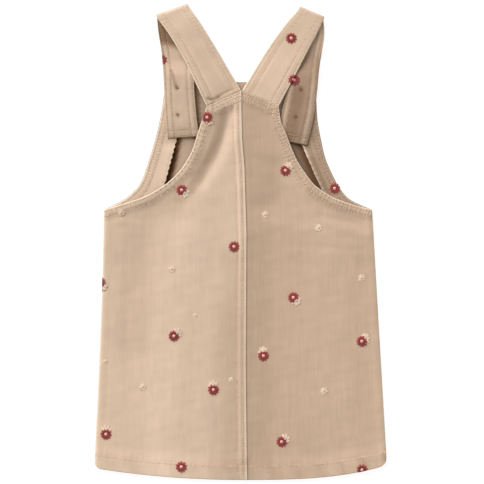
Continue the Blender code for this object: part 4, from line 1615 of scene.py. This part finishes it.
def curl(half, share, y):
    """How far the facing's cloth stands up, at a share of its width."""
    rising = smooth((y - CURL_IN.start) / (CURL_IN.end - CURL_IN.start))
    fading = fade(y, CURL_OUT[half.name].start, CURL_OUT[half.name].end)
    return CURL * rising * fading * share * share


FACING_NEAR = (0, 0.006, 0.02, 0.045, 0.08, 0.12, 0.18, 0.26, 0.35, 0.44)
FACING_SHARES = FACING_NEAR + (0.53, 0.62, 0.7, 0.78, 0.85, 0.91, 0.95, 0.975, 0.99, 1)


def facing_grid(half):
    """Middle of the facing's cloth as a grid, and how far across and along each point is."""
    edge = [p for p in spaced(FRONT_ARMHOLE[half.name], FACING_SPACING) if p.y < FACING_TOP]
    seam = offset_line(edge, half.side, FACING_INSET)
    free = offset_line(edge, half.side, FACING_INSET + FACING_WIDTH)
    low = edge[0].y - FACING_INSET
    seam[0] = Point(float(side_x(half, low)) - half.side * FACING_INSET, low)
    low -= FACING_WIDTH
    free[0] = Point(float(side_x(half, low)) - half.side * FACING_INSET, low)
    seam, free = np.array(seam)[:, None, :], np.array(free)[:, None, :]
    along = np.arange(len(edge))[:, None] * FACING_SPACING + np.zeros((1, len(FACING_SHARES)))
    share = np.array(FACING_SHARES)[None, :] + np.zeros((len(edge), 1))
    near_edge = smooth((share - 0.6) / 0.4)
    wavy = share + near_edge * FACING_WAVE[half.name] * uneven_wave(along, FACING_PITCH, half.side)
    reach = ramp(FACING_REACH[half.name], np.array([p.y for p in edge]))[:, None]
    plan = seam + (free - seam) * (wavy * reach)[..., None]
    x, y = plan[..., 0], plan[..., 1]
    height = bib_lift(x, y) + WALL + GAP + curl(half, share, y) + FACING_THICK / 2
    height += 0.25 * near_edge * uneven_wave(along, FACING_PITCH, half.side + 1)
    return np.dstack([x, y, height]), share, along


def make_facing(half):
    """The strip inside the front's armhole, with its overlocked edge."""
    middle, share, along = facing_grid(half)
    across = share * FACING_WIDTH
    ends = np.minimum(along, along.max() - along)
    edge = least(across, FACING_WIDTH - across, ends)
    rows = stitched(across, EDGE_ROWS)
    depth = FACING_THICK / 2 * rounded(edge, 0.5) - 0.2 * rows
    depth = np.where(edge < 0.01, 0, np.maximum(depth, 0))
    grain = np.dstack([across, along])
    # the tone: the right facing darkened as painted shade, painted light at its raised free edge, a band of
    # painted shade beside it, and painted shade in its stitched grooves
    from_free = across.max(axis=1, keepdims=True) - across
    edge_light = (1 - FACING_TONES[half.name]) * bell(from_free, 2.5)
    shade_band = 1 - FACING_SHADE_BAND[half.name] * fade(np.abs(from_free - 7), 2, 4.5)
    masks = {
        "worn": 0.8 * bell(edge, 1.2),
        "tone": (FACING_TONES[half.name] + edge_light) * shade_band * (1 - 0.25 * rows),
        "band": fade(across, 8, 12),
        "travelled": along,
    }
    outer = needlecord("needlecord_facing", 1.02)
    name = "cloth_facing_" + half.name
    piece, top, _, _ = shell_from_grid(name, middle, depth, grain, masks, outer)
    node = "front_facing_" + half.name
    finish_sheet(piece, node)
    lines = []
    for row in EDGE_ROWS:
        column = int(np.argmin(np.abs(np.array(FACING_SHARES) * FACING_WIDTH - row)))
        lines.append(top[2:-2, column] + UP * 0.1)
    thread = topstitch_thread() if half is LEFT else inside_thread()
    adorn(name, sewn("topstitching_facing_" + half.name, lines, thread))

    def on_facing(x, y):
        return (x, y, top[closest_cell(top, x, y)][2] + 0.3), UP

    blooms = [Daisy(f.x, f.y, 1.0, 11.0) for f in FACING_FLOWERS if f.x * half.side > 0]
    red_daisies("red_daisies_facing_" + half.name, blooms, on_facing, name)
    adorn(name, make_overlock(half, middle))


def make_overlock(half, middle):
    """Overlocking thread over the facing's free edge."""
    deep = int(np.argmin(np.abs(np.array(FACING_SHARES) - 0.85)))
    up = UP * (FACING_THICK / 2 + 0.15)
    loops, chain = [], []
    for row in range(2, len(middle) - 2):
        inner, outer = middle[row, deep], middle[row, -1]
        out = (outer - inner) / np.linalg.norm(outer - inner) * 0.2
        ahead = (middle[row + 1, -1] - outer) / 2
        loops += [inner + up, outer + out + up * 0.6, outer + out - up * 0.6, inner - up * 0.9 + ahead]
        loops += [outer + out - up * 0.6 + ahead, outer + out + up * 0.6 + ahead]
        chain.append(outer - out * 0.6 + up)
    return threaded("overlock_facing_" + half.name, [loops, chain], 0.42, topstitch_thread())


# ---- the straps


STRAP_WIDTH = 36.0
# How far the columns of a strap's grid are from its edge, closer where its rows of stitches are
EDGE_COLUMNS = (0, 0.12, 0.4, 0.8, 1.3, 1.9, 2.4, 3, 4, 5.4, 6.8, 7.8, 8.4, 9, 10, 12, 14.2, 16.4)


def strap_turn(strap):
    """The row where a strap leaves its flat runs, and the way its fold bulges."""
    fold = strap.fold
    along = Vector((fold.inner_x - fold.outer_x, fold.inner_y - fold.outer_y)).normalized()
    outward = Vector((-along.y, along.x))
    if outward.y < 0:
        outward.negate()
    x, y = outward * (FOLD_LIFT + STRAP_THICK) / 2
    turn = Section(fold.outer_x - x, fold.outer_y - y, fold.inner_x - x, fold.inner_y - y)
    return turn, outward


def strap_grid(strap):
    """Middle of a strap as a grid of points, row by row from its seam to its end."""
    turn, outward = strap_turn(strap)
    seam, first = strap.seam, strap.back_run[0]
    clear = Vector((first.inner_x - seam.inner_x, first.inner_y - seam.inner_y)).normalized() * GAP * 0.2
    ends = [seam.outer_x + clear.x, seam.outer_y + clear.y, seam.inner_x + clear.x, seam.inner_y + clear.y]
    sewn_row = Run(*ends, first.outer_lift, first.inner_lift)
    mirrored = [STRAP_WIDTH - d for d in reversed(EDGE_COLUMNS)]
    shares = np.array(list(EDGE_COLUMNS) + [STRAP_WIDTH / 2.0] + mirrored) / STRAP_WIDTH
    rows = []

    def places(edges):
        x = edges[0] + (edges[2] - edges[0]) * shares
        y = edges[1] + (edges[3] - edges[1]) * shares
        return x, y

    upper_run = [sewn_row] + strap.back_run + [Run(*turn, FOLD_LIFT, FOLD_LIFT)]
    for *edges, outer_lift, inner_lift in through(upper_run, STRAP_STEPS):
        x, y = places(edges)
        lift = outer_lift + (inner_lift - outer_lift) * shares
        hold = fade(math.dist(edges[:2], sewn_row[:2]), 0, SEAM_EASE)
        rows.append(np.column_stack([x, y, lift + (back_seat(x, y) - lift) * hold]))
    rows.insert(1, rows[0] + (rows[1] - rows[0]) * 0.15)
    upper = len(rows)
    radius = FOLD_LIFT / 2
    for step in range(1, STRAP_BEND_STEPS):
        angle = math.pi * step / STRAP_BEND_STEPS
        x, y = places(turn)
        out = radius * math.sin(angle)
        height = radius * (1 + math.cos(angle))
        rows.append(np.column_stack([x + outward.x * out, y + outward.y * out, x * 0.0 + height]))
    for edges in through([turn] + strap.front_run, STRAP_STEPS):
        x, y = places(edges)
        rows.append(np.column_stack([x, y, strap_seat(x, y)]))
    middle = np.array(rows)
    middle[..., 2] += STRAP_THICK / 2
    middle[0, :, 2] += STRAP_THICK * 0.35
    return middle, shares, upper


def lower_tone(strap, x, y, across, past):
    """Painted shade and light of a strap's lower run: its tone, painted light on its border, painted shade
    along one side, and near its fold painted shadow on the left strap and painted light on the right.
    """
    run = LOWER_RUNS[strap.name]
    side_away = np.minimum(across, STRAP_WIDTH - across)
    between = fade(np.abs(side_away - np.mean(STRAP_ROWS)), 1.5, 4) * smooth((past - 55) / 35)
    shaded_side = bell(across, 2.6) * fade(past, 60, 100)
    tone = (run.tone + run.border * between) * (1 - 0.35 * shaded_side)
    tone *= shaded(x, y, STRAP_SHADES[strap.name])
    deep = fade(past - run.lean * across, run.flat, run.reach)
    return tone + (run.fold_tone - tone) * deep


STRAP_SHAPES = {}


def make_strap(strap):
    """A strap of two layers sewn flat, with its stitched edges and end."""
    middle, shares, upper = strap_grid(strap)
    centre = middle[:, len(shares) // 2]
    steps = np.linalg.norm(np.diff(centre, axis=0), axis=1)
    along = np.concatenate([[0], np.cumsum(steps)])[:, None] + np.zeros((1, len(shares)))
    across = shares[None, :] * STRAP_WIDTH + np.zeros((len(middle), 1))
    side_away = np.minimum(across, STRAP_WIDTH - across)
    end_away = along.max() - along
    past = along - along[upper + STRAP_BEND_STEPS // 2]
    edge = least(side_away, end_away, along + 1)
    depth = STRAP_THICK / 2 * rounded(edge, 1.1)
    # Stitched rows, and the painted light of a soft ridge beside each row of the upper run
    rows = stitched(side_away, STRAP_ROWS)
    ridge_light = stitched(side_away, [row + 1.7 for row in STRAP_ROWS], 0.8) * (past < 0)
    rows *= np.where((past < 0) & (across > STRAP_WIDTH / 2), INNER_ROWS[strap.name], 1)
    from_seam = smooth((-past - 30) / 50)
    rows *= np.where(past < 0, 0.4 + 0.7 * from_seam, 1)
    rows = np.minimum(rows + stitched(end_away, END_ROWS), 1.2)
    # Relief of the cloth, and how the strap sways off its seat
    relief = 0.12 * fade(side_away, 6, 10) - 0.34 * rows
    relief += 0.15 * uneven_wave(along, 5.4, strap.side) * fade(side_away, 7, 11)
    relief += 0.1 * ripple(across, along * 0.7, 16, 4 + strap.side)
    depth += relief * smooth(edge / 1.5)
    depth = np.where(least(side_away, end_away, along) < 0.01, 0, depth)
    sway = 0.2 * (1 + ripple(across * 0.5, along, 30, 8 + strap.side)) * smooth(side_away / 6)
    middle[..., 2] += sway * smooth(along / 20) * smooth(end_away / 20)
    # Painted shade and light of both runs: the lower run's tone, darker at the fold and in the stitched
    # grooves, lighter on the ridge beside each row, and painted shade in the creases beside the seam and in
    # the buttons' dents
    x, y = middle[..., 0], middle[..., 1]
    tone = np.where(past > 0, lower_tone(strap, x, y, across, past), 1 - 0.15 * bell(past, 5))
    near_seam = 0.3 + 0.7 * from_seam
    tone = tone * (1 - 0.2 * rows) * (1 + 0.1 * ridge_light * near_seam)
    tone *= 1 - 0.14 * stitched(side_away, (2, 5.4), 0.7) * near_seam * (past < 0)
    crease = (1 - shaded(x, y, SEAM_SHADES[strap.name])) * (past < 0)
    tone *= 1 - crease
    depth -= 0.5 * crease * smooth(edge / 1.5)
    for button in BUTTONS:
        away = np.hypot(x - button.x, y - button.y)
        dimple = (past > 0) * bell(away, BUTTON_MARK)
        depth -= 0.8 * dimple
        tone *= 1 - 0.75 * dimple
    # The free end is pressed thinner
    pressed = 0.27 * fade(end_away, 1, 9)
    depth = np.maximum(depth - pressed, 0)
    middle[..., 2] = np.maximum(middle[..., 2] - pressed, depth + STRAP_CLEAR)
    grain = np.dstack([across, along])
    masks = {
        "worn": 0.7 * bell(edge, 1.2) * fade(-past, 12, 4),
        "tone": tone,
        "band": 0.3 * np.maximum(fade(side_away, 8, 12), fade(end_away, 8, 12)),
        "travelled": along,
    }
    outer = needlecord("needlecord_strap", 1.0)
    piece, top, bottom, normals = shell_from_grid("cloth_" + strap.name, middle, depth, grain, masks, outer)
    finish_sheet(piece, strap.name)
    STRAP_SHAPES[strap.name] = (top, bottom, normals, upper)
    stitch_strap(strap, top, bottom, normals, shares, end_away[:, 0])


def stitch_strap(strap, top, bottom, normals, shares, end_away):
    """The rows along a strap's edges and across its end, on both of its faces."""
    outside, within = [], []
    for row in STRAP_ROWS:
        for place in (row, STRAP_WIDTH - row):
            column = int(np.argmin(np.abs(shares * STRAP_WIDTH - place)))
            rise = ROW_RISE if place == row else INNER_RISE
            outside.append(top[1:-2, column] + normals[1:-2, column] * rise)
            within.append(bottom[1:-2, column] - normals[1:-2, column] * ROW_RISE)
    for row in END_ROWS:
        index = int(np.argmin(np.abs(end_away - row)))
        outside.append(top[index, 5:-5] + normals[index, 5:-5] * ROW_RISE)
        within.append(bottom[index, 5:-5] - normals[index, 5:-5] * ROW_RISE)
    cloth = "cloth_" + strap.name
    adorn(cloth, sewn("topstitching_" + strap.name, outside, topstitch_thread()))
    adorn(cloth, sewn("topstitching_inside_" + strap.name, within, inside_thread()))


def make_button_marks():
    """The thread that holds each button, where it crosses a strap's inner face."""
    for strap in STRAPS:
        top, bottom, normals, upper = STRAP_SHAPES[strap.name]
        lines = []
        for button in BUTTONS:
            if button.x * strap.side < 0:
                continue
            lower = bottom[upper:]
            centre = lower[closest_cell(lower, button.x, button.y)]
            for turn, lean in ((0.9, 0), (-0.9, 0.1), (1.3, 0.35), (-1.2, -0.3)):
                run = np.array([math.cos(turn + math.pi / 4), math.sin(turn + math.pi / 4), 0.0])
                shift = np.array([lean, 0.0, 0.05])
                start, end = centre - run * 1.5 + shift, centre + run * 1.5 + shift
                lines.append([start, (start + end) / 2 + UP * 0.45, end])
        adorn("cloth_" + strap.name, threaded("button_marks_" + strap.name, lines, 0.5, button_thread()))


# ---- the daisies


def daisy_places(name, daisies, surface):
    """An object with a point for each daisy, and the way it faces, its spin and its size."""
    points, normals = [], []
    for daisy in daisies:
        point, normal = surface(daisy.x, daisy.y)
        points.append(tuple(float(v) * MM for v in point))
        normals += [float(v) for v in normal]
    mesh = bpy.data.meshes.new(name)
    mesh.from_pydata(points, [], [])
    mesh.attributes.new("facing", "FLOAT_VECTOR", "POINT").data.foreach_set("vector", normals)
    turns = [math.radians(daisy.turn) for daisy in daisies]
    mesh.attributes.new("spin", "FLOAT", "POINT").data.foreach_set("value", turns)
    sizes = [daisy.size for daisy in daisies]
    mesh.attributes.new("size", "FLOAT", "POINT").data.foreach_set("value", sizes)
    return new_object(name, mesh)


def embroidered(name, daisies, surface, cloth, bloom, finishes, flatness):
    """Daisies of one colour on one cloth."""
    if not daisies:
        return None
    radius = bpy.context.scene.pinafore_sizes.daisy_radius
    values = {
        "Petals": bloom.petals,
        "Petal Spread": PETAL_SPREAD / bloom.petals,
        "Threads per Petal": bloom.threads,
        "Outer Radius": radius,
        "Inner Radius": radius * bloom.opening,
        "Thickness": EMBROIDERY_THREAD * MM,
        "Knot Size": radius * bloom.knot,
        "Flatness": flatness,
        "Petal Finish": finishes[0],
        "Middle Finish": finishes[1],
    }
    piece = grown(name, daisy_places(name + "_places", daisies, surface), embroidered_daisies, values)
    adorn(cloth, piece)
    return piece


def red_daisies(name, daisies, surface, cloth, flatness=1):
    """Red daisies with pink middles."""
    return embroidered(name, daisies, surface, cloth, RED_BLOOM, (red_thread(), pink_thread()), flatness)


def cream_daisies(name, daisies, surface, cloth, flatness):
    """Cream daisies, which are flatter and have broad petals."""
    finishes = (cream_thread(), cream_thread())
    return embroidered(name, daisies, surface, cloth, CREAM_BLOOM, finishes, flatness)


def spun(flower, kind, number):
    """A daisy of one kind, turned a step further than the one before it."""
    return Daisy(flower.x, flower.y, kind.size, kind.spin * number)


def surface_normal(height, x, y):
    """The way that a height over the plan faces."""
    reach = 2.0
    along_x = (height(x + reach, y) - height(x - reach, y)) / (2 * reach)
    along_y = (height(x, y + reach) - height(x, y - reach)) / (2 * reach)
    normal = np.array([-along_x, -along_y, 1.0])
    return normal / np.linalg.norm(normal)


def companions(flowers):
    """The cream daisies that peek out behind the red ones."""
    found = []
    for i, flower in enumerate(flowers):
        if flower.companion_turn is None:
            continue
        turn = math.radians(flower.companion_turn)
        x, y = flower.x + COMPANION_AWAY * math.cos(turn), flower.y + COMPANION_AWAY * math.sin(turn)
        found.append(spun(Flower(x, y), COMPANION, i))
    return found


def make_back_daisies(half):
    """The daisies on one half of the back."""
    side = half.side

    def height(x, y):
        return float(back_surfaces(half, np.array([x]), np.array([y]))[1][0])

    def on_cloth(x, y):
        edge = seam_x(y) + side * 0.5
        low, high = sorted((edge, side_x(half, y) - side * 3))
        inner = min(max(x, low), high)
        return (x, y, height(inner, y) + 0.1), surface_normal(height, inner, y)

    def here(flower):
        return (flower.x - seam_x(flower.y)) * side > 0

    red = [f for f in BACK_FLOWERS if here(f)]
    small = [f for f in BACK_SMALL_FLOWERS if here(f)]
    cloth = "cloth_back_" + half.name
    cream = companions(red) + [spun(f, SMALL, i) for i, f in enumerate(small)]
    cream += [spun(f, FAINT, i) for i, f in enumerate(FAINT_FLOWERS) if here(f)]
    blooms = [spun(f, RED, i) for i, f in enumerate(red)]
    pieces = [
        cream_daisies("cream_daisies_back_" + half.name, cream, on_cloth, cloth, CREAM_FLATNESS),
        red_daisies("red_daisies_back_" + half.name, blooms, raised(on_cloth, 0.35), cloth),
    ]
    loop = joined([border.points for border in back_borders(half)])
    for piece in pieces:
        wrap_over_edges(piece, loop, 1)


def make_front_daisies():
    """The same daisies on the front's outside, kept off its seams and pressed flat under it."""
    spread = [Flower(-f.x * 0.94, f.y - 19, f.companion_turn) for f in BACK_FLOWERS]
    small = [Flower(-f.x * 0.9, f.y - 31) for f in BACK_SMALL_FLOWERS]

    def clear(flower):
        edges = front_edges(np.array([flower.x]), np.array([flower.y]))
        return min(float(edges[i][0]) for i in (0, 2, 3, 4)) > 9

    def on_front(x, y):
        return (x, y, float(front_surfaces(np.array([x]), np.array([y]))[0][0])), np.array([0.0, 0.0, -1.0])

    red = [f for f in spread + FRONT_BIB_FLOWERS if clear(f)]
    cream = companions(red) + [spun(f, SMALL, i) for i, f in enumerate(small) if clear(f)]
    blooms = [spun(f, RED, i) for i, f in enumerate(red)]
    cream_daisies("cream_daisies_front", cream, on_front, "cloth_front", PRESSED)
    red_daisies("red_daisies_front", blooms, on_front, "cloth_front", PRESSED)


def make_buttonholes():
    """Zigzag stitches round the slit that each button goes through."""
    lines = []
    for button in BUTTONS:
        steps = np.arange(0, 34)
        xs = button.x + HOLE_LENGTH * (steps / steps[-1] - 0.5)
        for side in (-1, 1):
            ys = button.y + side * np.where(steps % 2 == 0, 0.3, 1.5)
            bottom = front_surfaces(xs, ys)[0]
            lines.append(np.column_stack([xs, ys, bottom - 0.05]))
    adorn("cloth_front", threaded("buttonholes", lines, 0.4, topstitch_thread()))


def raised(surface, rise):
    """A surface a little higher."""

    def higher(x, y):
        point, normal = surface(x, y)
        return tuple(np.array(point) + normal * rise), normal

    return higher


def wrap_over_edges(piece, loop, up):
    """Take the threads that pass a cloth's edge round it and out of sight."""
    count = len(piece.data.vertices)
    points = np.zeros(count * 3)
    piece.data.vertices.foreach_get("co", points)
    points = points.reshape(-1, 3) / MM
    x, y = points[:, 0], points[:, 1]
    outside = ~inside(x, y, loop)
    if not outside.any():
        return
    closed = np.array(loop + loop[:1])
    for i in np.nonzero(outside)[0]:
        spot = closest(closed, x[i], y[i])
        beyond = math.dist((x[i], y[i]), spot)
        points[i, 0] = spot[0] + (x[i] - spot[0]) * 0.25 / max(beyond, 0.25)
        points[i, 1] = spot[1] + (y[i] - spot[1]) * 0.25 / max(beyond, 0.25)
        points[i, 2] -= up * min(beyond + 0.6, 1.8)
    piece.data.vertices.foreach_set("co", (points * MM).ravel())
    piece.data.update()


def closest(line, x, y):
    """The nearest point of a line of points."""
    start, run = line[:-1], np.diff(line, axis=0)
    share = ((x - start[:, 0]) * run[:, 0] + (y - start[:, 1]) * run[:, 1]) / (run**2).sum(axis=1)
    spots = start + run * np.clip(share, 0, 1)[:, None]
    return spots[int(np.argmin(np.hypot(x - spots[:, 0], y - spots[:, 1])))]


def make_strap_daisies(strap):
    """The daisies on the two runs of a strap."""
    top, bottom, normals, upper = STRAP_SHAPES[strap.name]
    first = upper + STRAP_BEND_STEPS
    runs = {
        "upper": (top[:upper], normals[:upper]),
        "lower": (bottom[first:], -normals[first:]),
    }

    def on_run(label):
        points, facing = runs[label]

        def place(x, y):
            flat = points[:, 8:-8]
            row, column = closest_cell(flat, x, y)
            return (x, y, flat[row, column][2] + 0.1), facing[row, column + 8]

        return place

    for label, (points, _) in runs.items():
        blooms = [spun(f, RED, 1) for f in STRAP_FLOWERS[strap.name] if f.run == label]
        name = f"red_daisies_{strap.name}_{label}"
        piece = red_daisies(name, blooms, raised(on_run(label), 0.2), "cloth_" + strap.name)
        if piece:
            ring = np.concatenate([points[0], points[1:, -1], points[-1, -2::-1], points[-2:0:-1, 0]])
            wrap_over_edges(piece, [tuple(p[:2]) for p in ring], 1 if label == "upper" else 0.6)


# ---- the buttons


def make_buttons():
    """Give the turned buttons their finish."""
    for button in BUTTONS:
        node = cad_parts[button.name]
        node.data.materials.clear()
        node.data.materials.append(horn())


# ---- the stage


CAMERA_X = 1.7
CAMERA_VIEW = 556.6
CAMERA_LENS = 250.0
SENSOR = 36.0
FLOOR_REACH = 6.0  # in metres, as are the next one and the lights' places and sizes
FLOOR_Z = -0.0002


def make_stage():
    """A plain pale floor, soft light from the upper left, and a camera straight above."""
    scene = bpy.context.scene
    mesh = bpy.data.meshes.new("floor")
    corners = [(-1, -1), (1, -1), (1, 1), (-1, 1)]
    mesh.from_pydata([(x * FLOOR_REACH, y * FLOOR_REACH, FLOOR_Z) for x, y in corners], [], [(0, 1, 2, 3)])
    mesh.materials.append(floor_finish())
    new_object("floor", mesh)
    camera = bpy.data.cameras.new("camera")
    camera.sensor_width = SENSOR
    camera.lens = CAMERA_LENS
    camera.clip_end = 50.0
    scene.camera = new_object("camera", camera)
    scene.camera.location = (CAMERA_X * MM, 0, CAMERA_VIEW * MM / SENSOR * CAMERA_LENS)
    add_sun("key", 127, 34, 45, 3.75)
    add_light("fill", (1, 0.4, 2.8), 2.4, 12)
    world = bpy.data.worlds.new("studio")
    world.use_nodes = True
    warm = {"Color": (1.0, 0.94, 0.84, 1.0), "Strength": 0.28}
    Nodes(world.node_tree).feed(world.node_tree.nodes["Background"], warm)
    scene.world = world
    scene.view_settings.view_transform = "Standard"
    scene.view_settings.look = "None"


def add_sun(name, bearing, height, softness, strength):
    """A soft key light from a bearing and a height, both in degrees."""
    lamp = bpy.data.lights.new(name, "SUN")
    lamp.angle = math.radians(softness)
    lamp.energy = strength
    level = math.cos(math.radians(height))
    turn = math.radians(bearing)
    towards = Vector((level * math.cos(turn), level * math.sin(turn), math.sin(math.radians(height))))
    aim(new_object(name, lamp), towards * 3, towards)


def add_light(name, place, size, power):
    """A square soft light that points at the middle of the dress."""
    lamp = bpy.data.lights.new(name, "AREA")
    lamp.size = size
    lamp.energy = power
    aim(new_object(name, lamp), place, Vector(place))


def aim(light, place, towards):
    """Put a light in its place, shining away from the way that is given."""
    light.location = place
    light.rotation_mode = "QUATERNION"
    light.rotation_quaternion = (-towards).to_track_quat("-Z", "Y")


# ---- the add-on


def a_length(name, description, default):
    """A length that a user may change."""
    return FloatProperty(name=name, description=description, default=default, unit="LENGTH")


def a_colour(name, description, default):
    """A colour that a user may change."""
    return FloatVectorProperty(name=name, description=description, default=default, subtype="COLOR")


class PinaforeSizes(bpy.types.PropertyGroup):
    """Sizes of the cloth's ribs, the thread and the embroidery."""

    rib_pitch: a_length("Rib Pitch", "Distance between the cord's ribs", 0.00128)
    nap: FloatProperty(
        name="Nap",
        description="How uneven the pile's shade is",
        default=0.16,
        min=0.0,
        max=1.0,
        subtype="FACTOR",
    )
    stitch_pitch: a_length("Stitch Pitch", "Distance between topstitches", 0.003)
    stitch_length: a_length("Stitch Length", "Length of one topstitch", 0.0027)
    thread_thickness: a_length("Thread Thickness", "Diameter of the topstitching thread", 0.00065)
    daisy_radius: a_length("Daisy Radius", "From a red daisy's middle to its petals' tips", 0.0064)


class PinaforeColours(bpy.types.PropertyGroup):
    """Colours of the cloth, the threads and the buttons."""

    cord: a_colour("Cord", "Tops of the cord's ribs", (0.72, 0.55, 0.418))
    cord_groove: a_colour("Cord Groove", "Between the cord's ribs", (0.5, 0.364, 0.264))
    cord_rubbed: a_colour("Rubbed Cord", "Folded edges of the cord", (0.9, 0.78, 0.63))
    cord_inside: a_colour("Cord Inside", "Woven inside of the cord", (0.49, 0.36, 0.262))
    thread: a_colour("Thread", "Topstitching thread", (0.76, 0.58, 0.43))
    # painted shade: the topstitching thread darkened for rows that lie in shade inside the dress
    inside_thread: a_colour("Inside Thread", "Topstitching seen on the inside", (0.5, 0.37, 0.26))
    petal: a_colour("Petal", "Red embroidery thread", (0.2, 0.014, 0.016))
    petal_tip: a_colour("Petal Tip", "Red thread where it enters the cloth", (0.5, 0.12, 0.1))
    daisy_middle: a_colour("Daisy Middle", "Knots in the middle of a red daisy", (1.0, 0.62, 0.54))
    cream: a_colour("Cream", "Cream embroidery thread", (0.78, 0.62, 0.485))
    cream_tip: a_colour("Cream Tip", "Cream thread where it enters the cloth", (0.74, 0.57, 0.435))
    button_thread: a_colour("Button Thread", "Thread that holds the buttons", (0.2, 0.12, 0.07))
    horn: a_colour("Horn", "Buttons", (0.3, 0.19, 0.11))


class PINAFORE_OT_front(bpy.types.Operator):
    """Build the front with its bib and stitching"""

    bl_idname = "pinafore.front"
    bl_label = "Front"

    def execute(self, context):
        make_front()
        make_front_stitching()
        make_buttonholes()
        return {"FINISHED"}


class PINAFORE_OT_facings(bpy.types.Operator):
    """Build the facings inside the front's armholes"""

    bl_idname = "pinafore.facings"
    bl_label = "Facings"

    def execute(self, context):
        for half in (LEFT, RIGHT):
            make_facing(half)
        return {"FINISHED"}


class PINAFORE_OT_straps(bpy.types.Operator):
    """Build the two folded straps"""

    bl_idname = "pinafore.straps"
    bl_label = "Straps"

    def execute(self, context):
        for strap in STRAPS:
            make_strap(strap)
        make_button_marks()
        return {"FINISHED"}


class PINAFORE_OT_back(bpy.types.Operator):
    """Build the two halves of the back with their stitching"""

    bl_idname = "pinafore.back"
    bl_label = "Back"

    def execute(self, context):
        for half in (LEFT, RIGHT):
            make_back(half)
            make_back_stitching(half)
        return {"FINISHED"}


class PINAFORE_OT_daisies(bpy.types.Operator):
    """Embroider the daisies"""

    bl_idname = "pinafore.daisies"
    bl_label = "Daisies"

    def execute(self, context):
        for half in (LEFT, RIGHT):
            make_back_daisies(half)
        for strap in STRAPS:
            make_strap_daisies(strap)
        make_front_daisies()
        return {"FINISHED"}


class PINAFORE_OT_buttons(bpy.types.Operator):
    """Finish the four buttons"""

    bl_idname = "pinafore.buttons"
    bl_label = "Buttons"

    def execute(self, context):
        make_buttons()
        return {"FINISHED"}


class PINAFORE_OT_stage(bpy.types.Operator):
    """Set up the floor, the lights and the camera"""

    bl_idname = "pinafore.stage"
    bl_label = "Stage"

    def execute(self, context):
        make_stage()
        return {"FINISHED"}


STEPS = (
    PINAFORE_OT_front,
    PINAFORE_OT_facings,
    PINAFORE_OT_straps,
    PINAFORE_OT_back,
    PINAFORE_OT_daisies,
    PINAFORE_OT_buttons,
    PINAFORE_OT_stage,
)


class PINAFORE_PT_panel(bpy.types.Panel):
    """Sizes, colours and steps of the pinafore dress"""

    bl_idname = "PINAFORE_PT_panel"
    bl_label = "Pinafore Dress"
    bl_space_type = "VIEW_3D"
    bl_region_type = "UI"
    bl_category = "Pinafore"

    def draw(self, context):
        for group in (context.scene.pinafore_sizes, context.scene.pinafore_colours):
            for name in group.__annotations__:
                self.layout.prop(group, name)
        for step in STEPS:
            self.layout.operator(step.bl_idname)


CLASSES = (PinaforeSizes, PinaforeColours, *STEPS, PINAFORE_PT_panel)


def register():
    """Make the add-on's classes and properties known."""
    for cls in CLASSES:
        bpy.utils.register_class(cls)
    bpy.types.Scene.pinafore_sizes = PointerProperty(type=PinaforeSizes)
    bpy.types.Scene.pinafore_colours = PointerProperty(type=PinaforeColours)


def unregister():
    """Take them away again."""
    del bpy.types.Scene.pinafore_colours
    del bpy.types.Scene.pinafore_sizes
    for cls in reversed(CLASSES):
        bpy.utils.unregister_class(cls)


def main():
    """Build the whole dress and its stage."""
    register()
    bpy.ops.pinafore.front()
    bpy.ops.pinafore.facings()
    bpy.ops.pinafore.straps()
    bpy.ops.pinafore.back()
    bpy.ops.pinafore.daisies()
    bpy.ops.pinafore.buttons()
    bpy.ops.pinafore.stage()


if __name__ == "__main__":
    main()
